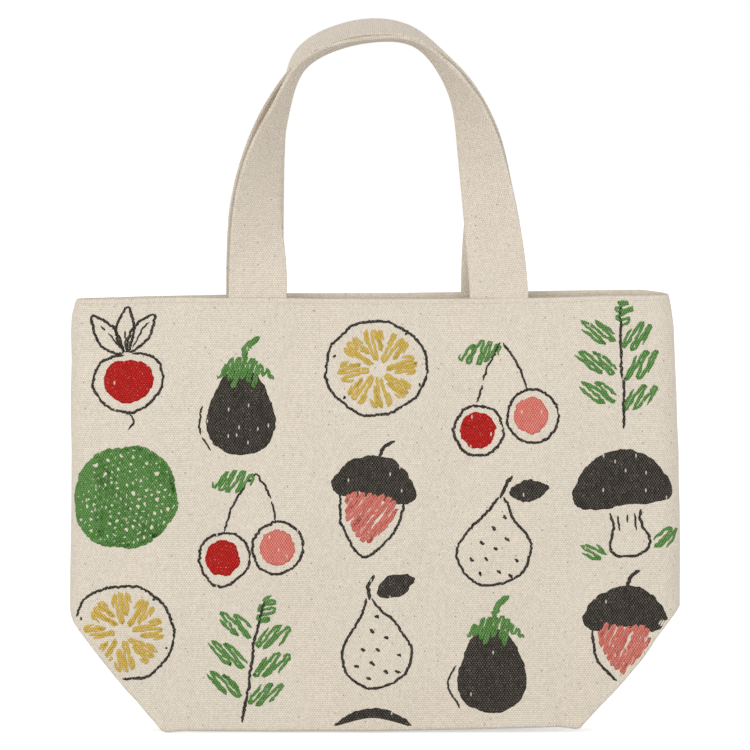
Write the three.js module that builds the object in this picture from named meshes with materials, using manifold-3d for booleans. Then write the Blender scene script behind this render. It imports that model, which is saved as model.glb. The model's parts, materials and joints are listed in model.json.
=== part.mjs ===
// A small canvas tote bag with a boxed bottom, standing folded flat as it is stored:
// the bottom gusset is tucked up between the walls, and the two strap handles stand up.
// Millimetres, +Z up, the front faces -Y, the origin is under the middle of the folded bottom.
import * as THREE from 'three';
import { mergeVertices } from 'three/addons/utils/BufferGeometryUtils.js';
import Module from 'manifold-3d';

const wasm = await Module();
wasm.setup();

// Stock that the bag is sewn from
const canvas = 1.0; // one layer of canvas
const strapWidth = 28.3;
const strapThickness = 1.9; // canvas folded into four layers and pressed
const tapeThickness = 3.0; // two cloth edges with the tape closed over them
const cornerTapeThickness = 1.6; // the same pressed flat in the narrow fold
const clearance = 0.3; // gap kept where two sewn pieces touch

// The body, folded flat
const width = 300; // over both side edges where it is widest
const rimWidth = 291; // over both side edges at the mouth
const taperStart = 130; // height above which the sides draw in towards the mouth
const height = 214; // rim above the folded bottom edge
const bottomWidth = 206; // length of the bottom fold between its tips
const cornerHeight = 58; // height at which the slanted folds reach the side edges
const tuckHeight = 50; // how far the middle of the bottom is tucked up
const depth = 25; // over both walls at half height
const rimDepth = 23; // over both walls at the mouth
const sideRound = 11; // how far the side edges round over from the walls
const cornerTuck = 4; // height of the tucked cloth left at the side edge

// Facing, straps and seam tapes
const facingHeight = 28; // turned band inside the rim
const facingRun = 12; // length over which the facing eases off a strap tail
const facingEase = 1; // extra half width of the raised part of the facing
const tailLength = 24; // strap end sewn in behind the rim
const frontStrapCentres = [-57.4, 61.2];
const backStrapCentres = [-59.2, 57.0];
const tapeWidth = 10; // side and bottom seam tapes
const cornerTapeWidth = 8;
const cornerTapeStart = 20; // height of the lower ends of the corner tapes
const hingeLift = 0.3; // clear height from the rim to the free part of a strap

const FRONT = -1;
const BACK = 1;

// Middle surface of a wall: half sizes less half a layer of cloth
const wallHalfWidth = width / 2 - canvas / 2;
const bottomHalf = bottomWidth / 2;
const seamGap = clearance / 2; // each cloth stops this far from the seam plane

const smooth = (t) => {
  const c = Math.min(Math.max(t, 0), 1);
  return c * c * (3 - 2 * c);
};
const mix = (a, b, t) => a + (b - a) * t;

// How much the width has drawn in at a height
function widthScale(z) {
  const t = Math.max(0, (z - taperStart) / (height - taperStart));
  return mix(1, rimWidth / width, t);
}

// Half depth of the middle surface at a height
function halfDepth(z) {
  const t = smooth((z - taperStart) / (height - taperStart));
  return mix(depth, rimDepth, t) / 2 - canvas / 2;
}

// Height of the bottom fold: level between the tips, then slanting up to the side edge
function foldHeight(across) {
  const t = (Math.abs(across) - bottomHalf) / (wallHalfWidth - bottomHalf);
  return cornerHeight * Math.min(Math.max(t, 0), 1);
}

// Height of the valley where the tucked cloths of front and back meet
function valleyHeight(across) {
  const t = (Math.abs(across) - bottomHalf) / (wallHalfWidth - bottomHalf);
  return mix(tuckHeight, cornerHeight + cornerTuck, Math.min(Math.max(t, 0), 1));
}

// A point on a wall, inset from its middle surface towards the inside of the bag.
// The section is flat in the middle and a quarter ellipse at each side edge.
function wallPoint(side, across, z, inset = 0) {
  const round = sideRound - inset;
  const fromEdge = wallHalfWidth - inset - Math.abs(across);
  const rise = 1 - Math.min(Math.max(fromEdge / round, 0), 1);
  const bulge = Math.sqrt(Math.max(0, 1 - rise * rise));
  const reach = halfDepth(z) - inset - seamGap;
  return new THREE.Vector3(across * widthScale(z), side * (seamGap + reach * bulge), z);
}

// Column positions from one side edge to the other: even between the bottom tips,
// even from a tip to the flat's end, and closer together on the rounds
function columnsAcross(halfWidth, round, bottomCount, cornerCount) {
  const roundCount = 6;
  const flat = halfWidth - round;
  const right = [];
  for (let i = 1; i < cornerCount; i += 1) right.push(mix(bottomHalf, flat, i / cornerCount));
  for (let i = roundCount; i >= 0; i -= 1) {
    const angle = (i / roundCount) * (Math.PI / 2);
    right.push(halfWidth - round * (1 - Math.cos(angle)));
  }
  const middle = [];
  for (let i = 0; i <= bottomCount; i += 1) {
    middle.push(mix(-bottomHalf, bottomHalf, i / bottomCount));
  }
  return [...right.map((a) => -a).reverse(), ...middle, ...right];
}

// Turns every face outwards by the sign of the enclosed volume
function facingOut(positions, faces) {
  let volume = 0;
  const point = (k) => new THREE.Vector3().fromArray(positions, 3 * k);
  for (const [a, b, c] of faces) volume += point(a).dot(point(b).cross(point(c)));
  const index = faces.flatMap(([a, b, c]) => (volume < 0 ? [a, c, b] : [a, b, c]));
  const geometry = new THREE.BufferGeometry();
  geometry.setAttribute('position', new THREE.Float32BufferAttribute(positions, 3));
  geometry.setIndex(index);
  return geometry;
}

// A closed sheet of cloth: a grid of middle points given a thickness along its normals
function sheet(rows, columns, thickness, middle) {
  const grid = [];
  for (let i = 0; i < rows; i += 1) {
    for (let j = 0; j < columns; j += 1) grid.push(middle(i, j));
  }
  const at = (i, j) => grid[i * columns + j];
  const clampRow = (i) => Math.min(Math.max(i, 0), rows - 1);
  const clampColumn = (j) => Math.min(Math.max(j, 0), columns - 1);
  const layers = [[], []];
  for (let i = 0; i < rows; i += 1) {
    for (let j = 0; j < columns; j += 1) {
      const along = at(clampRow(i + 1), j).clone().sub(at(clampRow(i - 1), j));
      const across = at(i, clampColumn(j + 1)).clone().sub(at(i, clampColumn(j - 1)));
      const normal = along.cross(across).normalize().multiplyScalar(thickness / 2);
      layers[0].push(...at(i, j).clone().add(normal).toArray());
      layers[1].push(...at(i, j).clone().sub(normal).toArray());
    }
  }
  const count = rows * columns;
  const faces = [];
  const quad = (a, b, c, d) => faces.push([a, b, c], [a, c, d]);
  for (let i = 0; i + 1 < rows; i += 1) {
    for (let j = 0; j + 1 < columns; j += 1) {
      const a = i * columns + j;
      quad(a, a + 1, a + columns + 1, a + columns);
      quad(count + a, count + a + columns, count + a + columns + 1, count + a + 1);
    }
  }
  for (let j = 0; j + 1 < columns; j += 1) {
    const top = (rows - 1) * columns + j;
    quad(j + 1, j, count + j, count + j + 1);
    quad(top, top + 1, count + top + 1, count + top);
  }
  for (let i = 0; i + 1 < rows; i += 1) {
    const a = i * columns;
    const b = a + columns - 1;
    quad(a, a + columns, count + a + columns, count + a);
    quad(b + columns, b, count + b, count + b + columns);
  }
  return facingOut([...layers[0], ...layers[1]], faces);
}

// Between three.js geometry and a solid that can be joined and cut
function toSolid(geometry) {
  const bare = geometry.clone();
  bare.deleteAttribute('normal');
  bare.deleteAttribute('uv');
  const merged = mergeVertices(bare);
  return new wasm.Manifold(new wasm.Mesh({
    numProp: 3,
    vertProperties: Float32Array.from(merged.getAttribute('position').array),
    triVerts: Uint32Array.from(merged.index.array),
  }));
}

function fromSolid(solid) {
  const mesh = solid.getMesh();
  const geometry = new THREE.BufferGeometry();
  geometry.setAttribute('position', new THREE.BufferAttribute(mesh.vertProperties, 3));
  geometry.setIndex(new THREE.BufferAttribute(mesh.triVerts, 1));
  return geometry;
}

// Depth of the tucked cloth where it leaves the foot of the wall, and at the valley
const footOverlap = 0.05 * canvas;
const valleyDepth = seamGap + canvas / 2;
function tuckFootDepth(across) {
  const foot = wallPoint(BACK, across, foldHeight(across));
  return Math.max(foot.y - canvas + footOverlap, valleyDepth);
}

// One body cloth: the wall, its two slanted corner folds and its half of the tucked bottom
function bodyCloth(side) {
  const columns = columnsAcross(wallHalfWidth, sideRound, 10, 3);
  const wallRows = 12;
  const wall = sheet(wallRows, columns.length, canvas, (i, j) => {
    const z = mix(foldHeight(columns[j]), height, i / (wallRows - 1));
    return wallPoint(side, columns[j], z);
  });

  // The tucked cloth starts beside the foot of the wall and leans to the seam plane
  const endInset = 0.4 * canvas;
  const footDrop = 0.12 * canvas;
  const limit = wallHalfWidth - endInset;
  const tuckRows = 5;
  const tuck = sheet(tuckRows, columns.length, canvas, (i, j) => {
    const across = Math.min(Math.max(columns[j], -limit), limit);
    const t = i / (tuckRows - 1);
    const z = mix(foldHeight(across) - footDrop, valleyHeight(across), t);
    return new THREE.Vector3(across, side * mix(tuckFootDepth(across), valleyDepth, t), z);
  });

  // The bag rests on the fold, which is cut level
  const floorBlock = new THREE.BoxGeometry(2 * width, 2 * depth, depth);
  floorBlock.translate(0, 0, -depth / 2);
  return fromSolid(toSolid(wall).add(toSolid(tuck)).subtract(toSolid(floorBlock)));
}

// How far the facing stands off the wall at a place across, to pass over the strap tails
function tailRelief(x, centres) {
  const flat = strapWidth / 2 + facingEase;
  const near = Math.min(...centres.map((c) => Math.abs(x - c)));
  return (strapThickness + clearance) * (1 - smooth((near - flat) / facingRun));
}

// The facing: a band of canvas inside the rim, sewn over the strap tails
function facing(side, centres) {
  const inset = canvas + clearance;
  const columns = columnsAcross(wallHalfWidth - inset, sideRound - inset, 52, 5);
  const rows = 4;
  return sheet(rows, columns.length, canvas, (i, j) => {
    const z = mix(height - facingHeight, height, i / (rows - 1));
    const base = wallPoint(side, columns[j], z, inset);
    base.y -= side * tailRelief(base.x, centres);
    return base;
  });
}

// A strap tail: the sewn end of a handle, between the wall and its facing
function strapTail(side, centre) {
  const inset = canvas / 2 + clearance + strapThickness / 2;
  const rows = 4;
  const columns = 5;
  return sheet(rows, columns, strapThickness, (i, j) => {
    const z = mix(height - tailLength, height, i / (rows - 1));
    const x = centre + strapWidth * (j / (columns - 1) - 0.5);
    return wallPoint(side, x / widthScale(z), z, inset);
  });
}

// Depth at which a strap leaves the rim, and the line that its handle turns about
const strapRimDepth = halfDepth(height) - canvas / 2 - clearance - strapThickness / 2;
const hingeDepth = halfDepth(height);

// The free part of a handle: one flat strap that leaves both legs facing the front,
// turns inwards along them and crosses the top on edge. Its middle line runs through
// hand-placed points, with the strap's turn in degrees at each
function handle(points, turns) {
  const curve = new THREE.CatmullRomCurve3(points, false, 'centripetal');
  const turnCurve = new THREE.SplineCurve(turns.map((turn, i) => new THREE.Vector2(i, turn)));
  const steps = 76;
  const depthAxis = new THREE.Vector3(0, 1, 0);
  const edgeRound = strapThickness / 4;
  const halfWide = strapWidth / 2;
  const halfThick = strapThickness / 2;
  const section = [
    [-halfWide, -halfThick + edgeRound], [-halfWide + edgeRound, -halfThick],
    [halfWide - edgeRound, -halfThick], [halfWide, -halfThick + edgeRound],
    [halfWide, halfThick - edgeRound], [halfWide - edgeRound, halfThick],
    [-halfWide + edgeRound, halfThick], [-halfWide, halfThick - edgeRound],
  ];
  const positions = [];
  for (let i = 0; i <= steps; i += 1) {
    const u = i / steps;
    const centre = curve.getPointAt(u);
    const along = curve.getTangentAt(u);
    if (i === 0) along.set(0, 0, 1);
    if (i === steps) along.set(0, 0, -1);
    const turn = -THREE.MathUtils.degToRad(turnCurve.getPoint(curve.getUtoTmapping(u)).y);
    const outward = along.clone().cross(depthAxis).normalize();
    const away = outward.clone().cross(along).normalize();
    const face = away.multiplyScalar(-Math.cos(turn)).addScaledVector(outward, Math.sin(turn));
    const wide = along.clone().cross(face);
    for (const [w, t] of section) {
      positions.push(...centre.clone().addScaledVector(wide, w).addScaledVector(face, t).toArray());
    }
  }
  const ring = section.length;
  const faces = [];
  for (let i = 0; i < steps; i += 1) {
    for (let k = 0; k < ring; k += 1) {
      const next = (k + 1) % ring;
      const a = i * ring;
      faces.push([a + k, a + next, a + ring + next], [a + k, a + ring + next, a + ring + k]);
    }
  }
  const last = steps * ring;
  for (let k = 1; k + 1 < ring; k += 1) {
    faces.push([0, k + 1, k], [last, last + k, last + k + 1]);
  }
  return facingOut(positions, faces);
}

// Points of a handle relative to its hinge: x, depth towards the back, height above the rim
function handlePoints(side, centres, shape) {
  const lean = side * (strapRimDepth - hingeDepth);
  const foot = (x) => new THREE.Vector3(x, lean, hingeLift);
  return [
    foot(centres[0]),
    ...shape.map(([x, y, z]) => new THREE.Vector3(x, y - side * hingeDepth, z)),
    foot(centres[1]),
  ];
}

// Middle lines of the two handles: x, depth, height above the rim, inward turn in degrees.
// The back one lies behind the front one at the legs and over it at the top
const frontShape = [
  [-57.5, -9, 20, 17], [-57.9, -9.1, 39.5, 34], [-56.1, -9.2, 59, 48], [-51.6, -9.2, 77.7, 61],
  [-44.9, -9, 96, 75], [-36.1, -8.7, 113.3, 83], [-19, -8.2, 123.1, 85], [0, -8, 126.7, 87],
  [19.6, -8.2, 124.9, 86], [34.2, -8.7, 112.3, 77], [44.7, -9, 95.7, 62], [50.5, -9.2, 77, 47],
  [54.3, -9.2, 58, 33], [57.3, -9.1, 38.8, 22], [59.7, -9, 19.5, 11],
];
const backShape = [
  [-59.1, 9, 19.7, 10], [-58.5, 9.1, 39.9, 21], [-56.2, 9.2, 60, 37], [-52.3, 9.2, 79.7, 56],
  [-46.7, 9, 99.2, 76], [-37.6, 8.7, 118.3, 99.5], [-20.3, 8.2, 129, 106], [-0.7, 8, 133, 105.6],
  [18.7, 8.2, 130, 100.2], [35.9, 8.7, 118, 91.6], [50.2, 9, 101.4, 89], [56.3, 9.2, 80.9, 73],
  [56.8, 9.2, 60.1, 49], [57.4, 9.1, 39.9, 27], [57.3, 9, 19.6, 9],
];

// A tape closed over the cloth edges of a side seam, inside the bag
function sideTape(side) {
  const rows = 8;
  const foot = cornerHeight + cornerTuck + canvas + clearance;
  const top = height - facingHeight - clearance;
  return sheet(rows, 2, tapeThickness, (i, j) => {
    const z = mix(foot, top, i / (rows - 1));
    const outer = wallHalfWidth * widthScale(z) - canvas / 2 - clearance;
    return new THREE.Vector3(side * (outer - j * tapeWidth), 0, z);
  });
}

// The tape on the seam along the middle of the tucked bottom
function bottomTape() {
  const half = bottomHalf - cornerTapeWidth - clearance;
  const foot = tuckHeight + clearance;
  return sheet(2, 2, tapeThickness, (i, j) => (
    new THREE.Vector3(mix(-half, half, j), 0, foot + i * tapeWidth)
  ));
}

// The tape on a boxed-corner seam: it lies on the tucked cloths and rides over their valley
function cornerTape(side) {
  const footY = tuckFootDepth(0);
  const slope = new THREE.Vector2(valleyDepth - footY, tuckHeight).normalize();
  const outward = new THREE.Vector2(slope.y, -slope.x);
  const low = (offset) => {
    const t = cornerTapeStart / tuckHeight;
    return [mix(footY, valleyDepth, t) + outward.x * offset, cornerTapeStart + outward.y * offset];
  };
  const ridge = tuckHeight + clearance;
  const inner = canvas / 2 + clearance;
  const outer = inner + cornerTapeThickness;
  const ridgeInner = valleyDepth + outward.x * inner;
  const ridgeOuter = valleyDepth + outward.x * outer;
  const half = [
    low(inner), [ridgeInner, ridge], [ridgeOuter, ridge + cornerTapeThickness], low(outer),
  ];
  const shape = new THREE.Shape();
  shape.moveTo(-half[0][0], half[0][1]);
  shape.lineTo(-half[1][0], half[1][1]);
  shape.lineTo(half[1][0], half[1][1]);
  shape.lineTo(half[0][0], half[0][1]);
  shape.lineTo(half[3][0], half[3][1]);
  shape.lineTo(half[2][0], half[2][1]);
  shape.lineTo(-half[2][0], half[2][1]);
  shape.lineTo(-half[3][0], half[3][1]);
  const geometry = new THREE.ExtrudeGeometry(shape, { depth: cornerTapeWidth, bevelEnabled: false });
  geometry.rotateX(Math.PI / 2);
  geometry.rotateZ(Math.PI / 2);
  geometry.translate(side > 0 ? bottomHalf - cornerTapeWidth : -bottomHalf, 0, 0);
  return geometry;
}

// Finishes
const naturalCanvas = new THREE.MeshStandardMaterial({ color: 0xddd3c3, roughness: 0.95, metalness: 0 });
const strapCanvas = new THREE.MeshStandardMaterial({ color: 0xd8cfc0, roughness: 0.95, metalness: 0 });
const seamTape = new THREE.MeshStandardMaterial({ color: 0xe6dfd2, roughness: 0.9, metalness: 0 });

const tote = new THREE.Group();
function add(parent, name, geometry, material) {
  const mesh = new THREE.Mesh(geometry, material);
  mesh.name = name;
  parent.add(mesh);
}

const sides = [
  { word: 'front', side: FRONT, centres: frontStrapCentres, shape: frontShape },
  { word: 'back', side: BACK, centres: backStrapCentres, shape: backShape },
];
for (const { word, side, centres, shape } of sides) {
  add(tote, `${word}_cloth`, bodyCloth(side), naturalCanvas);
  add(tote, `${word}_facing`, facing(side, centres), naturalCanvas);
  add(tote, `${word}_strap_tail_left`, strapTail(side, centres[0]), strapCanvas);
  add(tote, `${word}_strap_tail_right`, strapTail(side, centres[1]), strapCanvas);
  const turning = new THREE.Group();
  turning.position.set(0, side * hingeDepth, height);
  const points = handlePoints(side, centres, shape);
  const turns = [0, ...shape.map((place) => place[3]), 0];
  add(turning, `${word}_handle_strap`, handle(points, turns), strapCanvas);
  tote.add(turning);
}
add(tote, 'left_side_seam_tape', sideTape(-1), seamTape);
add(tote, 'right_side_seam_tape', sideTape(1), seamTape);
add(tote, 'bottom_seam_tape', bottomTape(), seamTape);
add(tote, 'left_corner_seam_tape', cornerTape(-1), seamTape);
add(tote, 'right_corner_seam_tape', cornerTape(1), seamTape);

export default tote;
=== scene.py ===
"""A small canvas tote bag, folded flat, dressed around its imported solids.

Sizes are in millimetres and become metres only when a mesh is made. The front
faces -Y and the bag stands on its two folded bottom edges.
"""

from __future__ import annotations

import json
import logging
import math
from dataclasses import dataclass, field
from enum import Enum

import bpy
import numpy as np
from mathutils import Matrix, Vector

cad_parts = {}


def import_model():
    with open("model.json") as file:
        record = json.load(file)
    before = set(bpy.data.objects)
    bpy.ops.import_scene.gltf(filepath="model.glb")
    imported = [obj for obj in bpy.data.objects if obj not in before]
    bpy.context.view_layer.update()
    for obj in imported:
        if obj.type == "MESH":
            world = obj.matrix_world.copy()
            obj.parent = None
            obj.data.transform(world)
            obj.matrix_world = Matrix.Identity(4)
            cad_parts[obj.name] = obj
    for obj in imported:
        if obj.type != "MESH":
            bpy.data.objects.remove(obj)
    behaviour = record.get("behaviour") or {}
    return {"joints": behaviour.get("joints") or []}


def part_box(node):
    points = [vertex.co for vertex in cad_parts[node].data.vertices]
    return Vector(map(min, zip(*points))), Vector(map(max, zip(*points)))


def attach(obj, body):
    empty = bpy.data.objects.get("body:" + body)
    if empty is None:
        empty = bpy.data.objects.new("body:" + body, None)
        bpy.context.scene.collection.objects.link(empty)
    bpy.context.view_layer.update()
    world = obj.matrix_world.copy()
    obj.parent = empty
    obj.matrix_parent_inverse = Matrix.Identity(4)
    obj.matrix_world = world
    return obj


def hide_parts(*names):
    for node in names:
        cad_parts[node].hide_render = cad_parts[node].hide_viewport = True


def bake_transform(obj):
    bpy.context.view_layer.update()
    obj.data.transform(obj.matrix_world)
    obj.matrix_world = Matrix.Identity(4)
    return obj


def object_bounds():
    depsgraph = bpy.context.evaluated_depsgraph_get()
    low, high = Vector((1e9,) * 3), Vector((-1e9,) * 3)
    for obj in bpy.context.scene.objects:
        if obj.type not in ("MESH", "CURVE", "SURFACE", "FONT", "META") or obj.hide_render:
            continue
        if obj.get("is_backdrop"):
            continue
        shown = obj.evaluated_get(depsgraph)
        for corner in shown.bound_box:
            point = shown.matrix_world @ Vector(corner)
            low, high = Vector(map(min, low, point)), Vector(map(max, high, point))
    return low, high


log = logging.getLogger("tote")

MM = 0.001
FLAT_MAP = "flat_mm"
BAG = "bag"
HANDS = ("left", "right")
CANVAS = (221, 211, 195)
WHITE = (1.0, 1.0, 1.0, 1.0)
# Sewn pieces lie this far apart, in millimetres
SEWN_GAP = 0.3

Bytes = tuple[int, int, int]
Outline = list[tuple[float, float]]
Profile = tuple[tuple[float, float], ...]
Line = tuple[tuple[float, float, float, float], ...]
Wobbles = tuple[tuple[float, int], ...]


class Side(Enum):
    """Which wall of the bag, as the sign of its depth."""

    FRONT = -1
    BACK = 1

    @property
    def word(self) -> str:
        """The side's name as it stands in node names."""
        return self.name.lower()


class Ink(Enum):
    """The print's inks, as the sRGB bytes they read as on the cloth."""

    CHARCOAL = (24, 20, 15)
    RED = (170, 6, 4)
    GREEN = (52, 125, 26)
    MUSTARD = (203, 167, 24)
    CORAL = (206, 90, 78)

    @property
    def bareness(self) -> float:
        """Share of cloth that shows between the crowns."""
        return BARENESS[self]


BARENESS = {Ink.CHARCOAL: 0.12, Ink.RED: 0.04, Ink.GREEN: 0.24, Ink.MUSTARD: 0.36, Ink.CORAL: 0.33}


def smooth(t: np.ndarray | float) -> np.ndarray | float:
    """Ease from 0 to 1 with level ends, 3t^2 - 2t^3 of t held to 0..1."""
    c = np.clip(t, 0.0, 1.0)
    return c * c * (3.0 - 2.0 * c)


def linear(rgb: Bytes) -> tuple[float, float, float, float]:
    """Turn sRGB bytes into the linear colour that a shader takes.

    Args:
        rgb: Red, green and blue from 0 to 255.

    Returns:
        Linear red, green, blue and an alpha of 1.
    """
    c = np.asarray(rgb, float) / 255.0
    low, high = c / 12.92, ((c + 0.055) / 1.055) ** 2.4
    r, g, b = np.where(c <= 0.04045, low, high)
    return float(r), float(g), float(b), 1.0


def unit(vectors: np.ndarray) -> np.ndarray:
    """Vectors of length 1 along the last axis."""
    return vectors / np.maximum(np.linalg.norm(vectors, axis=-1, keepdims=True), 1e-12)


def run_length(points: np.ndarray) -> np.ndarray:
    """Distance run along points, one after another down the first axis, from 0."""
    steps = np.linalg.norm(np.diff(points, axis=0), axis=-1)
    return np.concatenate([np.zeros((1, *steps.shape[1:])), np.cumsum(steps, axis=0)])


def round_turn(count: int) -> np.ndarray:
    """Angles evenly spaced round one full turn."""
    return np.linspace(0.0, 2.0 * math.pi, count, endpoint=False)


def spin(degrees: float) -> np.ndarray:
    """Matrix that turns rows of flat places counter-clockwise."""
    c, s = math.cos(math.radians(degrees)), math.sin(math.radians(degrees))
    return np.array([[c, s], [-s, c]])


def along_profile(profile: Profile, x: np.ndarray) -> np.ndarray:
    """Read a profile of pairs at x, straight between its points."""
    return np.interp(x, *zip(*profile))


def linked(name: str, data: bpy.types.ID) -> bpy.types.Object:
    """Make an object and put it in the scene.

    Args:
        name: The object's name.
        data: Its mesh, lamp or camera.

    Returns:
        The object.
    """
    obj = bpy.data.objects.new(name, data)
    bpy.context.scene.collection.objects.link(obj)
    return obj


def spline(points: np.ndarray, count: int, closed: bool = False) -> np.ndarray:
    """Draw a smooth curve through points, evenly spaced along its length.

    The curve is a cubic spline over the running chord length, with free ends,
    or a periodic one when it is closed. The spline's second derivatives solve
    one small linear system. Columns past the third ride along, and don't count
    towards the length.

    Args:
        points: Points to pass through, one row each.
        count: Number of points to return.
        closed: Join the last point to the first.

    Returns:
        Points on the curve, one row each.
    """
    p = np.vstack([points, points[:1]]) if closed else np.asarray(points, float)
    step = np.maximum(np.linalg.norm(np.diff(p[:, :3], axis=0), axis=1), 1e-9)
    knot = np.concatenate([[0.0], np.cumsum(step)])
    n = len(p)
    system = np.eye(n)
    right = np.zeros_like(p)
    slope = np.diff(p, axis=0) / step[:, None]
    inner = np.arange(1, n - 1)
    system[inner, inner - 1] = step[:-1]
    system[inner, inner] = 2.0 * (step[:-1] + step[1:])
    system[inner, inner + 1] = step[1:]
    right[inner] = 6.0 * np.diff(slope, axis=0)
    if closed:
        system[0, :] = 0.0
        system[0, 0], system[0, -1] = 1.0, -1.0
        system[-1, :] = 0.0
        system[-1, 0] = 2.0 * step[0]
        system[-1, 1] = step[0]
        system[-1, -2] = step[-1]
        system[-1, -1] = 2.0 * step[-1]
        right[-1] = 6.0 * (slope[0] - slope[-1])
    bend = np.linalg.solve(system, right)

    def at(t: np.ndarray) -> np.ndarray:
        """Places on the curve at distances t along its chords.

        Args:
            t: The distances.

        Returns:
            The places, one row each.
        """
        i = np.clip(np.searchsorted(knot, t, side="right") - 1, 0, n - 2)
        h = step[i][:, None]
        a = (knot[i + 1] - t)[:, None] / h
        b = 1.0 - a
        ease = ((a**3 - a) * bend[i] + (b**3 - b) * bend[i + 1]) * h**2 / 6.0
        return a * p[i] + b * p[i + 1] + ease

    fine = np.linspace(0.0, knot[-1], 24 * n)
    dense = at(fine)
    length = run_length(dense[:, :3])
    even = np.linspace(0.0, length[-1], count, endpoint=not closed)
    return at(np.interp(even, length, fine))


@dataclass
class Shell:
    """Vertices, faces and flat coordinates of one mesh, gathered before it is made."""

    points: list[np.ndarray] = field(default_factory=list)
    flat: list[np.ndarray] = field(default_factory=list)
    faces: list[np.ndarray] = field(default_factory=list)
    size: int = 0

    def add(self, points: np.ndarray, flat: np.ndarray, faces: list[np.ndarray]) -> None:
        """Add one closed body and turn its faces outwards.

        The sign of the enclosed volume, summed over a fan of each face, tells
        which way the faces point.

        Args:
            points: Vertices in millimetres, one row each.
            flat: The cloth's flat coordinates of each vertex, in millimetres.
            faces: Arrays of vertex numbers, one row a face.
        """
        volume = 0.0
        for face in faces:
            a = points[face[:, 0]]
            for k in range(1, face.shape[1] - 1):
                cross = np.cross(points[face[:, k]], points[face[:, k + 1]])
                volume += float(np.einsum("ij,ij->", a, cross))
        turned = faces if volume > 0 else [face[:, ::-1] for face in faces]
        self.points.append(points)
        self.flat.append(flat)
        self.faces.extend(face + self.size for face in turned)
        self.size += len(points)

    def build(self, name: str, material: bpy.types.Material) -> bpy.types.Object:
        """Make the mesh object.

        Args:
            name: The object's name.
            material: Its one material.

        Returns:
            The new object, at the origin, in metres.
        """
        points = np.vstack(self.points) * MM
        flat = np.vstack(self.flat)
        corners = np.concatenate([face.ravel() for face in self.faces]).astype(np.int32)
        totals = np.concatenate([np.full(len(f), f.shape[1]) for f in self.faces]).astype(np.int32)
        starts = np.concatenate([[0], np.cumsum(totals)[:-1]]).astype(np.int32)
        mesh = bpy.data.meshes.new(name)
        mesh.vertices.add(len(points))
        mesh.vertices.foreach_set("co", points.ravel())
        mesh.loops.add(len(corners))
        mesh.loops.foreach_set("vertex_index", corners)
        mesh.polygons.add(len(totals))
        mesh.polygons.foreach_set("loop_start", starts)
        mesh.polygons.foreach_set("use_smooth", np.ones(len(totals), bool))
        layer = mesh.uv_layers.new(name=FLAT_MAP)
        layer.data.foreach_set("uv", flat[corners].ravel())
        mesh.update(calc_edges=True)
        mesh.validate()
        mesh.materials.append(material)
        log.info("%s: %d vertices", name, len(points))
        return linked(name, mesh)


def grid_quads(rows: int, columns: int, first: int = 0, wrap: bool = False) -> np.ndarray:
    """Number the quads of a grid of vertices.

    Args:
        rows: Vertex rows.
        columns: Vertex columns.
        first: Number of the grid's first vertex.
        wrap: Join the last column to the first.

    Returns:
        One row of four vertex numbers for each quad.
    """
    i, j = np.meshgrid(np.arange(rows - 1), np.arange(columns if wrap else columns - 1), indexing="ij")
    k = (j + 1) % columns
    quads = [i * columns + j, i * columns + k, (i + 1) * columns + k, (i + 1) * columns + j]
    return first + np.stack(quads, axis=-1).reshape(-1, 4)


def grid_normals(middle: np.ndarray) -> np.ndarray:
    """Unit normals of a grid of points, from the cross product of its two tangents."""
    return unit(np.cross(np.gradient(middle, axis=0), np.gradient(middle, axis=1)))


def closed_sheet(middle: np.ndarray, half: np.ndarray, flat: np.ndarray) -> Shell:
    """Give a grid of middle points a thickness and close its edges.

    Each point is moved by the half thickness along its normal, once outwards
    and once inwards, and the two layers are joined round the edge.

    Args:
        middle: Middle points, rows by columns by 3.
        half: Half thickness at each point.
        flat: Flat coordinates of each point, rows by columns by 2.

    Returns:
        A shell with the sheet.
    """
    rows, columns = middle.shape[:2]
    normal = grid_normals(middle) * half[..., None]
    points = np.vstack([(middle + normal).reshape(-1, 3), (middle - normal).reshape(-1, 3)])
    count = rows * columns
    index = np.arange(count).reshape(rows, columns)
    edge = np.concatenate([index[0, :-1], index[:-1, -1], index[-1, :0:-1], index[:0:-1, 0]])
    after = np.roll(edge, -1)
    rim = np.stack([after, edge, edge + count, after + count], axis=-1)
    upper = grid_quads(rows, columns)
    lower = grid_quads(rows, columns, count)[:, ::-1]
    shell = Shell()
    shell.add(points, np.tile(flat.reshape(-1, 2), (2, 1)), [upper, lower, rim])
    return shell


def closed_tube(shell: Shell, rings: np.ndarray, flat: np.ndarray) -> None:
    """Close a tube given as rings of points, with a flat fan over each end.

    Args:
        shell: Mesh to add to.
        rings: Ring by ring points, rings by points by 3.
        flat: Flat coordinates of each point, rings by points by 2.
    """
    count, around = rings.shape[:2]
    ends = np.stack([rings[0].mean(axis=0), rings[-1].mean(axis=0)])
    points = np.vstack([rings.reshape(-1, 3), ends])
    coordinates = np.vstack([flat.reshape(-1, 2), flat[0].mean(axis=0), flat[-1].mean(axis=0)])
    k = np.arange(around)
    after = (k + 1) % around
    last = (count - 1) * around
    first_cap = np.stack([np.full(around, count * around), after, k], axis=-1)
    last_cap = np.stack([np.full(around, count * around + 1), last + k, last + after], axis=-1)
    shell.add(points, coordinates, [grid_quads(count, around, wrap=True), first_cap, last_cap])


class Term:
    """A number in a node tree, which formulas can add, subtract and multiply."""

    def __init__(self, graph: Graph, socket: bpy.types.NodeSocket) -> None:
        """Keep the graph and the socket that gives the number."""
        self.graph = graph
        self.socket = socket

    def __add__(self, other: Value) -> Term:
        """The sum with another value."""
        return self.graph.math("ADD", self, other)

    def __sub__(self, other: Value) -> Term:
        """The difference from another value."""
        return self.graph.math("SUBTRACT", self, other)

    def __mul__(self, other: Value) -> Term:
        """The product with another value."""
        return self.graph.math("MULTIPLY", self, other)


Value = Term | bpy.types.NodeSocket | float | tuple


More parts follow.
